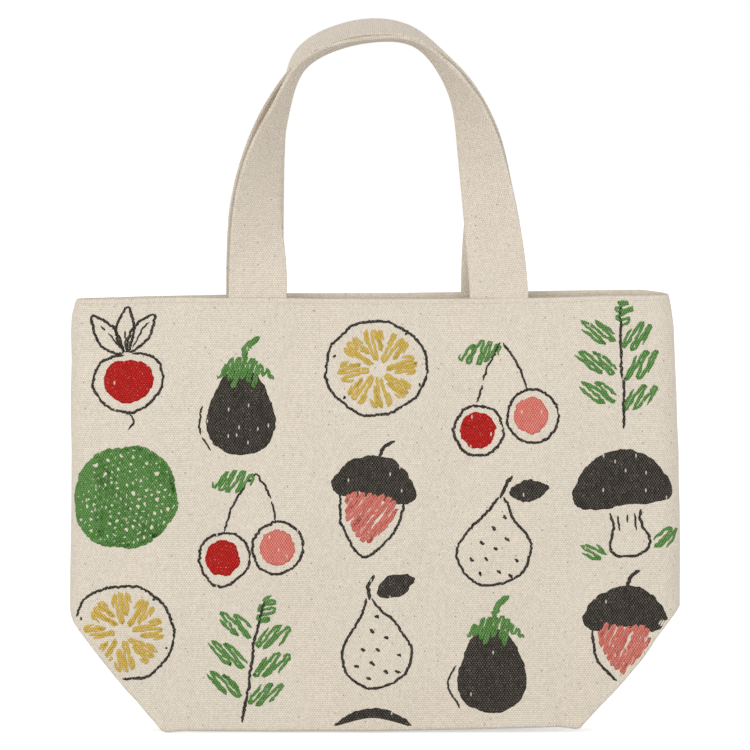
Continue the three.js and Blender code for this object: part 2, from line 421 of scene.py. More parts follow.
class Graph:
    """The node tree of a material or a world, with short calls for the nodes in use."""

    def __init__(self, owner: bpy.types.Material | bpy.types.World) -> None:
        """Give a material or a world an empty node tree.

        Args:
            owner: The material or the world.
        """
        owner.use_nodes = True
        self.owner = owner
        self.tree = owner.node_tree
        self.tree.nodes.clear()

    @classmethod
    def material(cls, name: str) -> Graph:
        """Start a new material of this name."""
        return cls(bpy.data.materials.new(name))

    def node(self, kind: str, **values: object) -> bpy.types.Node:
        """Add a node.

        Args:
            kind: The node's type.
            **values: Its properties and then its inputs. The name of an input
                begins with a capital and has underscores for spaces.

        Returns:
            The new node.
        """
        made = self.tree.nodes.new(kind)
        for key, value in values.items():
            if key[0].isupper():
                self.wire(value, made.inputs[key.replace("_", " ")])
            else:
                setattr(made, key, value)
        return made

    def wire(self, source: Value, socket: bpy.types.NodeSocket) -> None:
        """Set a socket from another socket or from a plain value.

        Args:
            source: What the socket is set from.
            socket: An input of a node.
        """
        given = source.socket if isinstance(source, Term) else source
        if isinstance(given, bpy.types.NodeSocket):
            self.tree.links.new(given, socket)
        else:
            socket.default_value = given

    def feed(self, node: bpy.types.Node, *values: Value) -> bpy.types.NodeSocket:
        """Set a node's first inputs, in order.

        Args:
            node: The node.
            *values: What its inputs are set from.

        Returns:
            The node's first output.
        """
        for value, socket in zip(values, node.inputs):
            self.wire(value, socket)
        return node.outputs[0]

    def math(self, operation: str, *values: Value) -> Term:
        """What a Math node makes of these inputs."""
        return Term(self, self.feed(self.node("ShaderNodeMath", operation=operation), *values))

    def mix(self, factor: Value, a: Value, b: Value, blend: str = "MIX") -> bpy.types.NodeSocket:
        """Add a colour Mix node.

        Args:
            factor: How much of b.
            a: First colour.
            b: Second colour.
            blend: The node's blend type.

        Returns:
            The mixed colour.
        """
        made = self.node("ShaderNodeMix", data_type="RGBA", blend_type=blend)
        for source, number in ((factor, 0), (a, 6), (b, 7)):
            self.wire(source, made.inputs[number])
        return made.outputs[2]

    def graded(self, colour: Bytes, gain: Term) -> bpy.types.NodeSocket:
        """A plain colour times a grey gain."""
        return self.mix(1.0, linear(colour), self.vector(gain, gain, gain), "MULTIPLY")

    def ramp(self, value: Value, low: float, high: float) -> Term:
        """Ease a value from 0 at low to 1 at high."""
        ease = {"interpolation_type": "SMOOTHSTEP", "Value": value, "From_Min": low, "From_Max": high}
        return Term(self, self.node("ShaderNodeMapRange", **ease).outputs[0])

    def noise(self, vector: Value, scale: float, detail: float = 2.0) -> Term:
        """Noise from 0 to 1, with this many swells to a unit of the vector."""
        made = self.node("ShaderNodeTexNoise", Vector=vector, Scale=scale, Detail=detail)
        return Term(self, made.outputs["Fac"])

    def cells(self, vector: Value, scale: float) -> tuple[Term, Term]:
        """Scatter one point in each cell of a plane.

        Args:
            vector: Where the cells are read.
            scale: Cells to a unit of the vector.

        Returns:
            The distance to the nearest point and a random number of its own.
        """
        kind = "ShaderNodeTexVoronoi"
        made = self.node(kind, voronoi_dimensions="2D", feature="F1", Vector=vector, Scale=scale)
        split = self.node("ShaderNodeSeparateColor", Color=made.outputs["Color"])
        return Term(self, made.outputs["Distance"]), Term(self, split.outputs[0])

    def vector(self, x: Value, y: Value, z: Value = 0.0) -> bpy.types.NodeSocket:
        """Join three numbers. In a noise the third one only picks another pattern."""
        return self.node("ShaderNodeCombineXYZ", X=x, Y=y, Z=z).outputs[0]

    def axes(self, vector: Value) -> list[Term]:
        """Split a vector into its three numbers."""
        made = self.node("ShaderNodeSeparateXYZ", Vector=vector)
        return [Term(self, socket) for socket in made.outputs]

    def flat_place(self) -> list[Term]:
        """The cloth's own flat coordinates, across and up, in millimetres."""
        return self.axes(self.node("ShaderNodeUVMap", uv_map=FLAT_MAP).outputs[0])[:2]

    def shade(self, colour: Value, bump: Term, feel: Feel) -> bpy.types.Material:
        """Close the material with a Principled shader and a bump.

        Args:
            colour: Base colour.
            bump: Height that drives the bump, 0 to 1.
            feel: Roughness, sheen and height of the bump.

        Returns:
            The material.
        """
        relief = self.node("ShaderNodeBump", Strength=1.0, Distance=feel.rise * MM, Height=bump)
        shader = self.node(
            "ShaderNodeBsdfPrincipled",
            Base_Color=colour,
            Roughness=feel.roughness,
            Normal=relief.outputs[0],
            Sheen_Weight=feel.sheen,
            Sheen_Roughness=feel.sheen_roughness,
            Specular_IOR_Level=feel.specular,
        )
        self.node("ShaderNodeOutputMaterial", Surface=shader.outputs[0])
        return self.owner


@dataclass(frozen=True)
class Feel:
    """How a surface takes light: roughness, sheen, and its relief in millimetres."""

    roughness: float
    sheen: float
    rise: float
    sheen_roughness: float = 0.5
    specular: float = 0.12


@dataclass(frozen=True)
class Weave:
    """The plain weave that every canvas finish shares, with sizes in millimetres."""

    warp: float = 0.628
    weft: float = 0.985
    wander: float = 0.16
    wander_scale: float = 0.55
    wander_along: float = 0.12
    round: float = 0.55
    swap: float = 0.45
    soft_edge: float = 0.12

    def height(self, graph: Graph, u: Term, v: Term) -> tuple[Term, Term]:
        """Height of the woven surface and which thread lies on top.

        With a = sin(pi u / warp) and b = sin(pi v / weft), a warp thread
        stands round |a| + swap ab high and a weft thread round |b| - swap ab.
        The surface is the higher of the two, so they pass over and under.

        Args:
            graph: Material under construction.
            u: Flat coordinate across the warp, in millimetres.
            v: Flat coordinate across the weft, in millimetres.

        Returns:
            The height, from 0 to 1, and the warp's lead over the weft.
        """
        a = graph.math("SINE", u * (math.pi / self.warp))
        b = graph.math("SINE", v * (math.pi / self.weft))
        both = a * b * self.swap
        warp = graph.math("ABSOLUTE", a) * self.round + both
        weft = graph.math("ABSOLUTE", b) * self.round - both
        return graph.math("MAXIMUM", warp, weft), warp - weft


@dataclass(frozen=True)
class Tone:
    """How strongly each cause lightens a canvas. A negative one darkens it. The thread height's share is
    painted shade: gaps between threads darker, crowns lighter.
    """

    least: float = 0.905
    # Painted shade: how much lighter the crowns of the threads are than the gaps between them
    height_shade: float = 0.16
    warp_on_top: float = -0.20
    thread: float = 0.16
    crossing: float = 0.16
    cloud: float = 0.08
    fibre: float = 0.14
    thread_step: float = 3.7
    thread_along: float = 0.09
    cloud_scale: float = 0.022
    fibre_scale: float = 3.4


@dataclass(frozen=True)
class Fleck:
    """Specks of one kind: cells to a millimetre, radius, share of cells, tint and strength."""

    scale: float
    radius: float
    share: float
    tint: Bytes
    weight: float
    shift: float


@dataclass(frozen=True)
class Wear:
    """Where the ink misses the cloth: the low threads, specks, and short upright nicks."""

    low_thread: float = 0.75
    patch: float = 0.4
    patch_scale: float = 0.35
    patch_limits: tuple[float, float] = (0.3, 0.65)
    speck: float = 0.4
    speck_scale: float = 1.3
    speck_limits: tuple[float, float] = (0.62, 0.70)
    nick: float = 0.8
    nick_scale: float = 0.2
    nick_limits: tuple[float, float] = (0.10, 0.05)
    nick_share: float = 0.28
    nick_squeeze: float = 0.4
    nick_shift: float = 83.0


@dataclass(frozen=True)
class ClothFinish:
    """Unbleached cotton: threads of uneven tone, seed flecks, and ink where it is printed."""

    name: str
    colour: Bytes = CANVAS
    ink: Ink | None = None
    flecks: float = 0.65
    weave: Weave = Weave()
    tone: Tone = Tone()
    wear: Wear = Wear()
    bare_feel: Feel = Feel(roughness=0.92, sheen=0.12, rise=0.12)
    inked_feel: Feel = Feel(roughness=0.86, sheen=0.0, rise=0.12)
    kinds: tuple[Fleck, ...] = (
        Fleck(0.13, 0.46, 0.30, (120, 92, 64), 0.75, 0.0),
        Fleck(0.08, 0.50, 0.22, (88, 82, 78), 0.70, 31.0),
        Fleck(0.24, 0.40, 0.16, (150, 122, 92), 0.60, 57.0),
    )

    def build(self) -> bpy.types.Material:
        """Make the material.

        Each thread wanders a little along its run. It has a tone of its own,
        and so has each crossing of two threads.

        Returns:
            The material.
        """
        graph = Graph.material(self.name)
        u, v = graph.flat_place()
        weave, tone = self.weave, self.tone
        drift_u = graph.noise(graph.vector(u, v * weave.wander_along), weave.wander_scale)
        drift_v = graph.noise(graph.vector(u * weave.wander_along, v, 7.0), weave.wander_scale)
        uu, vv = drift_u * weave.wander + u, drift_v * weave.wander + v
        height, lead = weave.height(graph, uu, vv)
        warp_id = graph.math("FLOOR", uu * (1.0 / weave.warp))
        weft_id = graph.math("FLOOR", vv * (1.0 / weave.weft))
        step, run = tone.thread_step, tone.thread_along
        warp_tone = graph.noise(graph.vector(warp_id * step, v * run), 1.0)
        weft_tone = graph.noise(graph.vector(u * run, weft_id * step, 5.0), 1.0)
        on_top = graph.ramp(lead, -weave.soft_edge, weave.soft_edge)
        thread = (warp_tone - weft_tone) * on_top + weft_tone
        place = graph.vector(warp_id, weft_id)
        white = graph.node("ShaderNodeTexWhiteNoise", noise_dimensions="2D", Vector=place)
        crossing = Term(graph, white.outputs["Value"])
        cloud = graph.noise(graph.vector(u, v, 3.0), tone.cloud_scale, 3.0)
        fibre = graph.noise(graph.vector(u, v, 11.0), tone.fibre_scale, 3.0)

        # Crowns are light and the gaps between threads sink into shade
        gain = height * tone.height_shade + tone.least
        causes = (on_top, thread, crossing, cloud, fibre)
        weights = (tone.warp_on_top, tone.thread, tone.crossing, tone.cloud, tone.fibre)
        for cause, weight in zip(causes, weights):
            gain = (cause - 0.5) * weight + gain
        cloth = self._with_flecks(graph, graph.graded(self.colour, gain), u, v)
        if self.ink is None:
            return graph.shade(cloth, height, self.bare_feel)
        bare = self._bareness(graph, on_top, u, v)
        # The ink takes the same gain, so it carries the same painted shade between the threads
        printed = graph.mix(bare, graph.graded(self.ink.value, gain), cloth)
        return graph.shade(printed, height, self.inked_feel)

    def _with_flecks(
        self, graph: Graph, cloth: bpy.types.NodeSocket, u: Term, v: Term
    ) -> bpy.types.NodeSocket:
        """Scatter seed flecks and pale slubs.

        Args:
            graph: Material under construction.
            cloth: Colour of the clean cloth.
            u: Flat coordinate across.
            v: Flat coordinate up.

        Returns:
            The flecked colour.
        """
        colour = cloth
        for kind in self.kinds:
            distance, chance = graph.cells(graph.vector(u + kind.shift, v), kind.scale)
            far = kind.radius * kind.scale
            kept = graph.math("LESS_THAN", chance, kind.share * self.flecks)
            mark = graph.ramp(distance, far, far * 0.35) * kept * kind.weight
            colour = graph.mix(mark, colour, linear(kind.tint))
        return colour

    def _bareness(self, graph: Graph, on_top: Term, u: Term, v: Term) -> Term:
        """How bare the ink leaves the cloth: well laid on the warp, thinner on the weft.

        Args:
            graph: Material under construction.
            on_top: Whether the warp lies over the weft, from 0 to 1.
            u: Flat coordinate across the warp.
            v: Flat coordinate across the weft.

        Returns:
            The share of cloth that shows, from 0 to 1.
        """
        wear = self.wear
        patches = graph.noise(graph.vector(u, v, 19.0), wear.patch_scale, 3.0)
        patchy = graph.ramp(patches, *wear.patch_limits) * wear.patch + (1.0 - wear.patch)
        gap = graph.ramp(on_top, wear.low_thread, 0.0) * self.ink.bareness
        grain = graph.noise(graph.vector(u, v, 23.0), wear.speck_scale, 4.0)
        speck = graph.ramp(grain, *wear.speck_limits) * wear.speck
        place = graph.vector(u + wear.nick_shift, v * wear.nick_squeeze)
        distance, chance = graph.cells(place, wear.nick_scale)
        missed = graph.math("LESS_THAN", chance, wear.nick_share)
        nick = graph.ramp(distance, *wear.nick_limits) * missed * wear.nick
        return graph.math("MAXIMUM", graph.math("MAXIMUM", gap * patchy, speck), nick)


@dataclass(frozen=True)
class ThreadFinish:
    """Twisted sewing thread, a shade warmer than the canvas."""

    name: str
    colour: Bytes
    twist: float = 0.55
    dip: float = 0.88
    height_shade: float = 0.16
    feel: Feel = Feel(roughness=0.7, sheen=0.1, rise=0.05)

    def build(self) -> bpy.types.Material:
        """Make the material: a slanting ply along the thread's own length, with painted shade in the grooves
        between the plies.

        Returns:
            The material.
        """
        graph = Graph.material(self.name)
        u, v = graph.flat_place()
        # Painted shade: the grooves between the plies are darker and the crowns lighter
        height = graph.math("SINE", (u + v) * (2.0 * math.pi / self.twist)) * 0.5 + 0.5
        return graph.shade(graph.graded(self.colour, height * self.height_shade + self.dip), height, self.feel)


@dataclass(frozen=True)
class TapeFinish:
    """Thin plain-woven binding tape, read from the solid's own place."""

    name: str
    colour: Bytes
    weave: Weave = Weave(warp=0.35, weft=0.35)
    dip: float = 0.72
    height_shade: float = 0.22
    mottle: float = 0.16
    mottle_scale: float = 900.0
    feel: Feel = Feel(roughness=0.88, sheen=0.1, rise=0.08)

    def build(self) -> bpy.types.Material:
        """Make the material from Object coordinates, in metres.

        Returns:
            The material.
        """
        graph = Graph.material(self.name)
        place = graph.node("ShaderNodeTexCoord").outputs["Object"]
        x, _, z = graph.axes(place)
        height, _ = self.weave.height(graph, x * (1.0 / MM), z * (1.0 / MM))
        tone = graph.noise(place, self.mottle_scale, 3.0) * self.mottle + self.dip
        # Painted shade: the weave's gaps are darker and its crowns lighter, over a random mottle of the
        # tape's own tone
        return graph.shade(graph.graded(self.colour, height * self.height_shade + tone), height, self.feel)


@dataclass
class Wall:
    """The surface of one wall of the folded bag and of its half of the tucked bottom.

    A place on it is given by q, the distance across the cloth from the middle,
    and h, the height above the bottom fold. Across, the wall is flat and then
    turns a quarter ellipse into the side seam.
    """

    side: Side
    half_width: float
    height: float
    half_depth: float
    rim_half_depth: float
    bottom_half: float
    thickness: float = 1.0
    round: float = 11.0
    seam_gap: float = 0.15
    corner_height: float = 58.0
    tuck_height: float = 50.0
    fold_radius: float = 1.1
    rim_bow: float = 0.14
    bow_from: float = 110.0
    lean_from: float = 130.0
    rim_from: float = 150.0
    valley_rise: float = 3.0
    print_margin: float = 0.6
    print_foot: float = 2.6
    print_corner: float = 1.0
    swells: tuple[float, float, float] = (0.34, 0.22, 0.12)
    pucker: float = 0.20
    hem: float = 0.07
    foot: float = 0.16
    calm: float = 12.0

    # How far each side edge stands out at a height, left and right as the front is seen
    left_edge: Profile = (
        (0.0, 150.4), (65.0, 150.5), (80.0, 150.3), (109.0, 149.7), (139.0, 149.4),
        (154.0, 149.7), (168.0, 149.7), (183.0, 149.2), (198.0, 149.5), (205.4, 149.1),
        (210.3, 147.9), (212.8, 147.1), (214.0, 146.4),
    )
    right_edge: Profile = (
        (0.0, 150.8), (65.0, 150.8), (95.0, 150.8), (109.0, 150.6), (124.0, 150.1),
        (139.0, 149.9), (154.0, 149.1), (168.0, 148.7), (183.0, 147.9), (198.0, 147.3),
        (205.4, 146.3), (210.3, 145.5), (214.0, 144.6),
    )

    # Height of the bottom fold at a distance from the middle, left and right
    left_fold: Profile = (
        (0.0, 1.2), (50.0, 1.0), (94.0, 1.3), (102.9, 0.4), (104.2, 1.2), (108.2, 5.9),
        (112.5, 10.8), (116.5, 15.8), (121.3, 20.7), (125.3, 25.6), (129.3, 30.5), (133.2, 35.5),
        (137.0, 40.4), (140.6, 45.3), (144.5, 50.2), (147.8, 54.6), (149.1, 57.8), (149.5, 60.5),
    )
    right_fold: Profile = (
        (0.0, 1.2), (50.0, 2.0), (90.0, 3.1), (95.0, 2.7), (99.6, 1.8), (101.2, 3.2), (103.9, 6.4),
        (108.2, 11.1), (112.9, 16.0), (117.5, 20.8), (121.8, 25.6), (125.8, 30.5), (130.0, 35.5),
        (133.6, 40.4), (136.6, 45.3), (140.1, 50.2), (144.0, 55.2), (148.0, 60.0), (149.5, 62.0),
    )

    # How much each rim stands above its level, across the cloth
    front_rim: Profile = (
        (-156.0, -0.5), (-125.0, -0.3), (-112.0, 0.2), (-97.0, 0.6), (-80.0, 0.3), (-50.0, 0.4), (-30.0, 0.0),
        (0.0, -0.2), (30.0, -0.1), (80.0, 0.3), (100.0, 0.8), (115.0, 1.3), (135.0, 1.4), (156.0, 1.8),
    )
    back_rim: Profile = (
        (-156.0, -0.5), (-144.0, -0.5), (-114.0, 0.4), (-85.0, 0.9), (-45.0, 1.8), (12.0, 1.9), (32.0, 2.2),
        (78.0, 2.8), (112.0, 3.3), (137.0, 3.6), (143.0, 2.9), (156.0, 1.8),
    )

    @property
    def flat(self) -> float:
        """Half width of the flat middle, before the rounds."""
        return self.half_width - self.round

    @property
    def arc(self) -> float:
        """Length of a quarter round, by the root mean square of its two radii."""
        return 0.5 * math.pi * math.sqrt((self.round**2 + self.half_depth**2) / 2.0)

    @property
    def reach(self) -> float:
        """Distance across the cloth from the middle to the side seam."""
        return self.flat + self.arc

    def across(self, q: np.ndarray) -> tuple[np.ndarray, np.ndarray]:
        """Where a place across the cloth lies, before the sides draw in.

        Args:
            q: Distance across the cloth.

        Returns:
            The distance from the middle plane, and the share of the full depth.
        """
        turn = np.clip((np.abs(q) - self.flat) / self.arc, 0.0, 1.0) * 0.5 * math.pi
        a = np.where(np.abs(q) <= self.flat, np.abs(q), self.flat + self.round * np.sin(turn))
        return np.sign(q) * a, np.cos(turn)

    def edge_scale(self, a: np.ndarray, h: np.ndarray) -> np.ndarray:
        """Factor that draws the sides in towards the mouth, and waves them a little.

        Args:
            a: Distance from the middle plane before the sides draw in.
            h: Height above the bottom fold.

        Returns:
            The factor on a.
        """
        z = np.clip(h, 0.0, self.height)
        left, right = along_profile(self.left_edge, z), along_profile(self.right_edge, z)
        blend = smooth((a + self.half_width) / (2.0 * self.half_width))
        return (left + (right - left) * blend) / (self.half_width + 0.5 * self.thickness)

    def fold_height(self, a: np.ndarray) -> np.ndarray:
        """Height of the bottom fold, worn round at the left corner and sharp at the right."""
        left, right = (along_profile(fold, np.abs(a)) for fold in (self.left_fold, self.right_fold))
        return np.where(a < 0.0, left, right)

    def valley_height(self, a: np.ndarray) -> np.ndarray:
        """Height of the valley where the tucked halves of front and back meet.

        Args:
            a: Distance from the middle plane.

        Returns:
            Its height above the bottom fold.
        """
        t = np.clip((np.abs(a) - self.bottom_half) / (self.half_width - self.bottom_half), 0.0, 1.0)
        plain = self.tuck_height + (self.corner_height + self.valley_rise - self.tuck_height) * t
        return np.maximum(plain, self.fold_height(a) + self.valley_rise)

    def ripple(self, q: np.ndarray, h: np.ndarray) -> np.ndarray:
        """Soft unevenness of pressed cloth: broad swells, and puckers along the seams.

        Each sine holds the length of its wave, and s gives the two walls other
        phases. All but the wave at the foot fades out towards the side seam.

        Args:
            q: Distance across the cloth.
            h: Height above the bottom fold.

        Returns:
            How far the cloth stands out, in millimetres.
        """
        s = 1.0 if self.side is Side.FRONT else 1.7
        broad, slanted, short = self.swells
        swell = broad * np.sin(q / 27.0 + 1.3 * s) * np.sin(h / 36.0 + 0.4)
        swell += slanted * np.sin(q / 15.0 - h / 22.0 + 2.1 * s) + short * np.sin(q / 8.3 + h / 11.0 + s)
        seam = np.exp(-(self.reach - np.abs(q)) / 9.0)
        pucker = self.pucker * seam * np.sin(h / 3.1 + np.sign(q)) * np.sin(h / 13.0 + s)
        hem = self.hem * np.exp(-(self.height - h) / 7.0) * np.sin(q / 1.9 + s)
        foot = self.foot * np.exp(-np.maximum(h, 0.0) / 9.0) * np.sin(q / 6.1 + 2.0 * s)
        calm = smooth((self.reach - np.abs(q)) / self.calm)
        return swell * calm + (pucker + hem) * calm + foot

    def depth(self, h: np.ndarray) -> np.ndarray:
        """Half depth of the middle surface at a height."""
        t = smooth((h - self.lean_from) / (self.height - self.lean_from))
        return self.half_depth + (self.rim_half_depth - self.half_depth) * t

    def point(self, q: np.ndarray, h: np.ndarray, inset: float | np.ndarray = 0.0) -> np.ndarray:
        """A point of the wall, moved inwards from its middle surface by an inset.

        Args:
            q: Distance across the cloth.
            h: Height above the bottom fold.
            inset: Distance towards the inside of the bag.

        Returns:
            Points in millimetres, with a last axis of 3.
        """
        a, share = self.across(q)
        near = 1.0 - np.clip(np.abs(q) / self.reach, 0.0, 1.0) ** 2
        bow = self.rim_bow * smooth((h - self.bow_from) / (self.height - self.bow_from)) * (1.0 - near)
        full = self.depth(h) * (1.0 - bow) + self.ripple(q, h) - inset - self.seam_gap
        y = self.side.value * (self.seam_gap + np.maximum(full, 0.0) * share)
        x = a * self.edge_scale(a, h) - np.sign(a) * inset * (1.0 - share)
        return np.stack(np.broadcast_arrays(x, y, h + self.rim_lift(q, h)), axis=-1)

    def rim_lift(self, q: np.ndarray, h: np.ndarray) -> np.ndarray:
        """How much the cloth is drawn up towards its uneven rim."""
        rim = self.front_rim if self.side is Side.FRONT else self.back_rim
        return smooth((h - self.rim_from) / (self.height - self.rim_from)) * along_profile(rim, q)

    def outside(self, q: np.ndarray, h: np.ndarray, lift: float) -> np.ndarray:
        """Points on the wall's outer face, raised by a small lift.

        The normal is the cross product of the surface's two slopes, taken by
        central differences.

        Args:
            q: Distance across the cloth.
            h: Height above the bottom fold.
            lift: Height above the outer face.

        Returns:
            Points in millimetres, with a last axis of 3.
        """
        e = 0.05
        across = self.point(q + e, h) - self.point(q - e, h)
        up = self.point(q, h + e) - self.point(q, h - e)
        normal = unit(np.cross(across, up))
        outward = np.where(normal[..., 1:2] * self.side.value >= 0.0, 1.0, -1.0)
        return self.point(q, h) + normal * outward * (0.5 * self.thickness + lift)

    def domain(self) -> tuple[np.ndarray, np.ndarray]:
        """The flat outline that a print may fill, as half planes.

        Returns:
            Inward normals and offsets, so that a place is inside when every
            normal times the place is at least its offset.
        """
        side, top = self.print_margin - self.reach, self.print_margin - self.height
        normals = [[1.0, 0.0], [-1.0, 0.0], [0.0, -1.0], [0.0, 1.0]]
        offsets = [side, side, top, self.print_foot + self.fold_radius]
        for sign, fold in ((-1.0, self.left_fold), (1.0, self.right_fold)):
            corners = np.array([fold[5], fold[10], fold[15]]) * [sign, 1.0]
            for low, high in zip(corners[:-1], corners[1:]):
                normal = unit(np.array([low[1] - high[1], high[0] - low[0]]) * sign)
                normals.append(list(normal))
                offsets.append(normal @ low + self.print_corner)
        return np.array(normals), np.array(offsets)


@dataclass
class BodyCloth:
    """One cut piece of body cloth: a wall, its corner folds and half of the bottom."""

    wall: Wall
    edge_rows: int = 6
    wall_rows: int = 118
    fold_rows: int = 9
    tuck_rows: int = 27
    hollow: float = 0.9
    tuck_taper: float = 0.008
    rim_edge: float = 0.12

    def build(self, material: bpy.types.Material) -> bpy.types.Object:
        """Make the cloth as one closed sheet over the wall, the fold and the tuck.

        Rows run down the wall from the rim, round the fold by half an ellipse,
        and up the tucked cloth to the valley. Near the rim the thickness follows
        a half circle, so the pressed edge is round.

        Args:
            material: The cloth's finish.

        Returns:
            The cloth's object.
        """
        wall = self.wall
        q = self._columns()
        a, share = wall.across(q)
        fold = wall.fold_height(a)
        edge = np.sin(np.linspace(0.0, 0.5 * math.pi, self.edge_rows))
        top_rows = wall.height - 0.5 * wall.thickness * (1.0 - edge[::-1])
        t = np.linspace(0.0, 1.0, self.wall_rows)[1:, None]
        start = (fold + wall.fold_radius + 0.2)[None, :]
        lower = top_rows[-1] + (start - top_rows[-1]) * t
        h_wall = np.vstack([np.repeat(top_rows[:, None], len(q), axis=1), lower])
        upper = wall.point(q[None, :], h_wall)
        foot = upper[-1]
        valley = wall.seam_gap + 0.5 * wall.thickness
        inner = np.maximum(np.abs(foot[:, 1]) - 2.0 * wall.fold_radius, valley)
        radius = 0.5 * np.maximum(np.abs(foot[:, 1]) - inner, 0.0)
        angle = np.linspace(0.0, math.pi, self.fold_rows)[1:, None]
        y_fold = np.abs(foot[:, 1]) - radius * (1.0 - np.cos(angle))
        z_fold = foot[:, 2] - wall.fold_radius * np.sin(angle)
        x_fold = np.repeat(foot[None, :, 0], len(angle), axis=0)
        s = np.linspace(0.0, 1.0, self.tuck_rows)[1:, None]
        hollow = self.hollow * np.sin(math.pi * s) * share
        y_tuck = y_fold[-1] + (valley - y_fold[-1]) * s + hollow
        z_tuck = z_fold[-1] + (wall.valley_height(a) - z_fold[-1]) * s
        x_tuck = foot[:, 0] * (1.0 - self.tuck_taper * s * (1.0 - share))
        sign = wall.side.value
        fold_rows = np.stack([x_fold, sign * y_fold, z_fold], axis=-1)
        tuck_rows = np.stack([x_tuck, sign * y_tuck, z_tuck], axis=-1)
        middle = np.concatenate([upper, fold_rows, tuck_rows])
        down = run_length(middle)
        flat = np.stack([np.repeat(q[None, :], len(middle), axis=0), wall.height - down], axis=-1)
        half = np.full(middle.shape[:2], 0.5 * wall.thickness)
        half[: len(edge)] *= np.maximum(edge, self.rim_edge)[:, None]
        return closed_sheet(middle, half, flat).build(f"{wall.side.word}_body", material)

    def cut(self) -> tuple[tuple[float, float], float]:
        """Flat size of the piece as it was cut.

        At each place across, the cloth runs from the rim down to the bottom fold
        and up again to the valley; the mean of these lengths times the width is
        the area.

        Returns:
            The width and the length in metres, and the area in square metres.
        """
        wall = self.wall
        a, _ = wall.across(np.linspace(-wall.reach, wall.reach, 401))
        length = wall.height + wall.valley_height(a) - 2.0 * wall.fold_height(a)
        width = 2.0 * wall.reach * MM
        return (width, float(length.max()) * MM), width * float(length.mean()) * MM

    def _columns(self) -> np.ndarray:
        """Places across the cloth, 2 mm apart and closer on the rounds.

        Returns:
            Distances from the middle.
        """
        wall = self.wall
        middle = np.linspace(-wall.flat, wall.flat, 139)
        right = np.linspace(wall.flat, wall.reach, 20)[1:]
        return np.concatenate([-right[::-1], middle, right])


@dataclass
class RimBand:
    """The facing inside the rim, which rides over the strap tails."""

    wall: Wall
    centres: tuple[float, float]
    strap: StrapStock
    band: float
    clearance: float = 0.12
    strap_margin: float = 1.0
    slope: float = 12.0
    closing: float = 1.5
    turned_edge: float = 0.45
    turned_reach: float = 1.6
    round_reach: float = 0.8
    round_least: float = 0.3
    flat_shift: tuple[float, float] = (0.21, 400.0)

    def relief(self, x: np.ndarray) -> np.ndarray:
        """How far the band stands off the wall to pass over the tails.

        Args:
            x: Distance from the middle plane.

        Returns:
            The distance off the wall.
        """
        near = np.min(np.abs(x[..., None] - np.asarray(self.centres)), axis=-1)
        flat = 0.5 * self.strap.width + self.strap_margin
        return (self.strap.thickness + SEWN_GAP) * (1.0 - smooth((near - flat) / self.slope))

    def build(self, material: bpy.types.Material) -> bpy.types.Object:
        """Make the band as a closed sheet, with a rounded top edge and a turned lower edge.

        Args:
            material: The band's finish.

        Returns:
            The band's object.
        """
        wall = self.wall
        q = np.linspace(-wall.reach, wall.reach, 244)
        rows = np.linspace(0.0, 1.0, 20)[:, None]
        h = wall.height - self.band * rows
        x = wall.point(q[None, :], h)[..., 0]
        inset = wall.thickness + self.clearance + self.relief(x)
        middle = wall.point(q[None, :], np.repeat(h, len(q), axis=1), inset)
        # The two bands are joined in the side seam: their ends come together there
        closing = smooth(1.0 - (wall.reach - np.abs(q)) / self.closing)
        middle[..., 1] -= wall.side.value * (wall.seam_gap + 0.03) * closing
        swell = 1.0 + self.turned_edge * np.exp(-((1.0 - rows) * self.band / self.turned_reach) ** 2)
        ease = np.clip(np.minimum(rows, 1.0 - rows) * self.band / self.round_reach, self.round_least, 1.0)
        half = np.repeat(0.5 * wall.thickness * swell * ease, len(q), axis=1)
        beside, above = self.flat_shift
        flat = np.stack(np.broadcast_arrays(q[None, :] + beside, h + above), axis=-1)
        return closed_sheet(middle, half, flat).build(f"{wall.side.word}_rim_band", material)


@dataclass(frozen=True)
class StrapStock:
    """The folded strap that both handles are cut from."""

    width: float = 28.3
    thickness: float = 1.9
    groove: float = 0.32
    groove_reach: float = 0.3
    side_power: float = 0.16
    face_power: float = 0.42
    count: int = 40

    def section(self) -> tuple[np.ndarray, np.ndarray]:
        """Outline of the strap's section, a rounded bar with an open fold on one edge.

        It is a superellipse: the cosine and the sine of the angle, each raised
        to a small power, which leaves it flat over most of its width. One edge
        has a groove where the folded layers meet.

        Returns:
            Places across the width and through the thickness.
        """
        angle = round_turn(self.count) + math.pi / self.count
        c, s = np.cos(angle), np.sin(angle)
        wide = 0.5 * self.width * np.sign(c) * np.abs(c) ** self.side_power
        thick = 0.5 * self.thickness * np.sign(s) * np.abs(s) ** self.face_power
        edge = np.exp(-((s / self.groove_reach) ** 2)) * (c > 0)
        return wide + self.groove * edge, thick


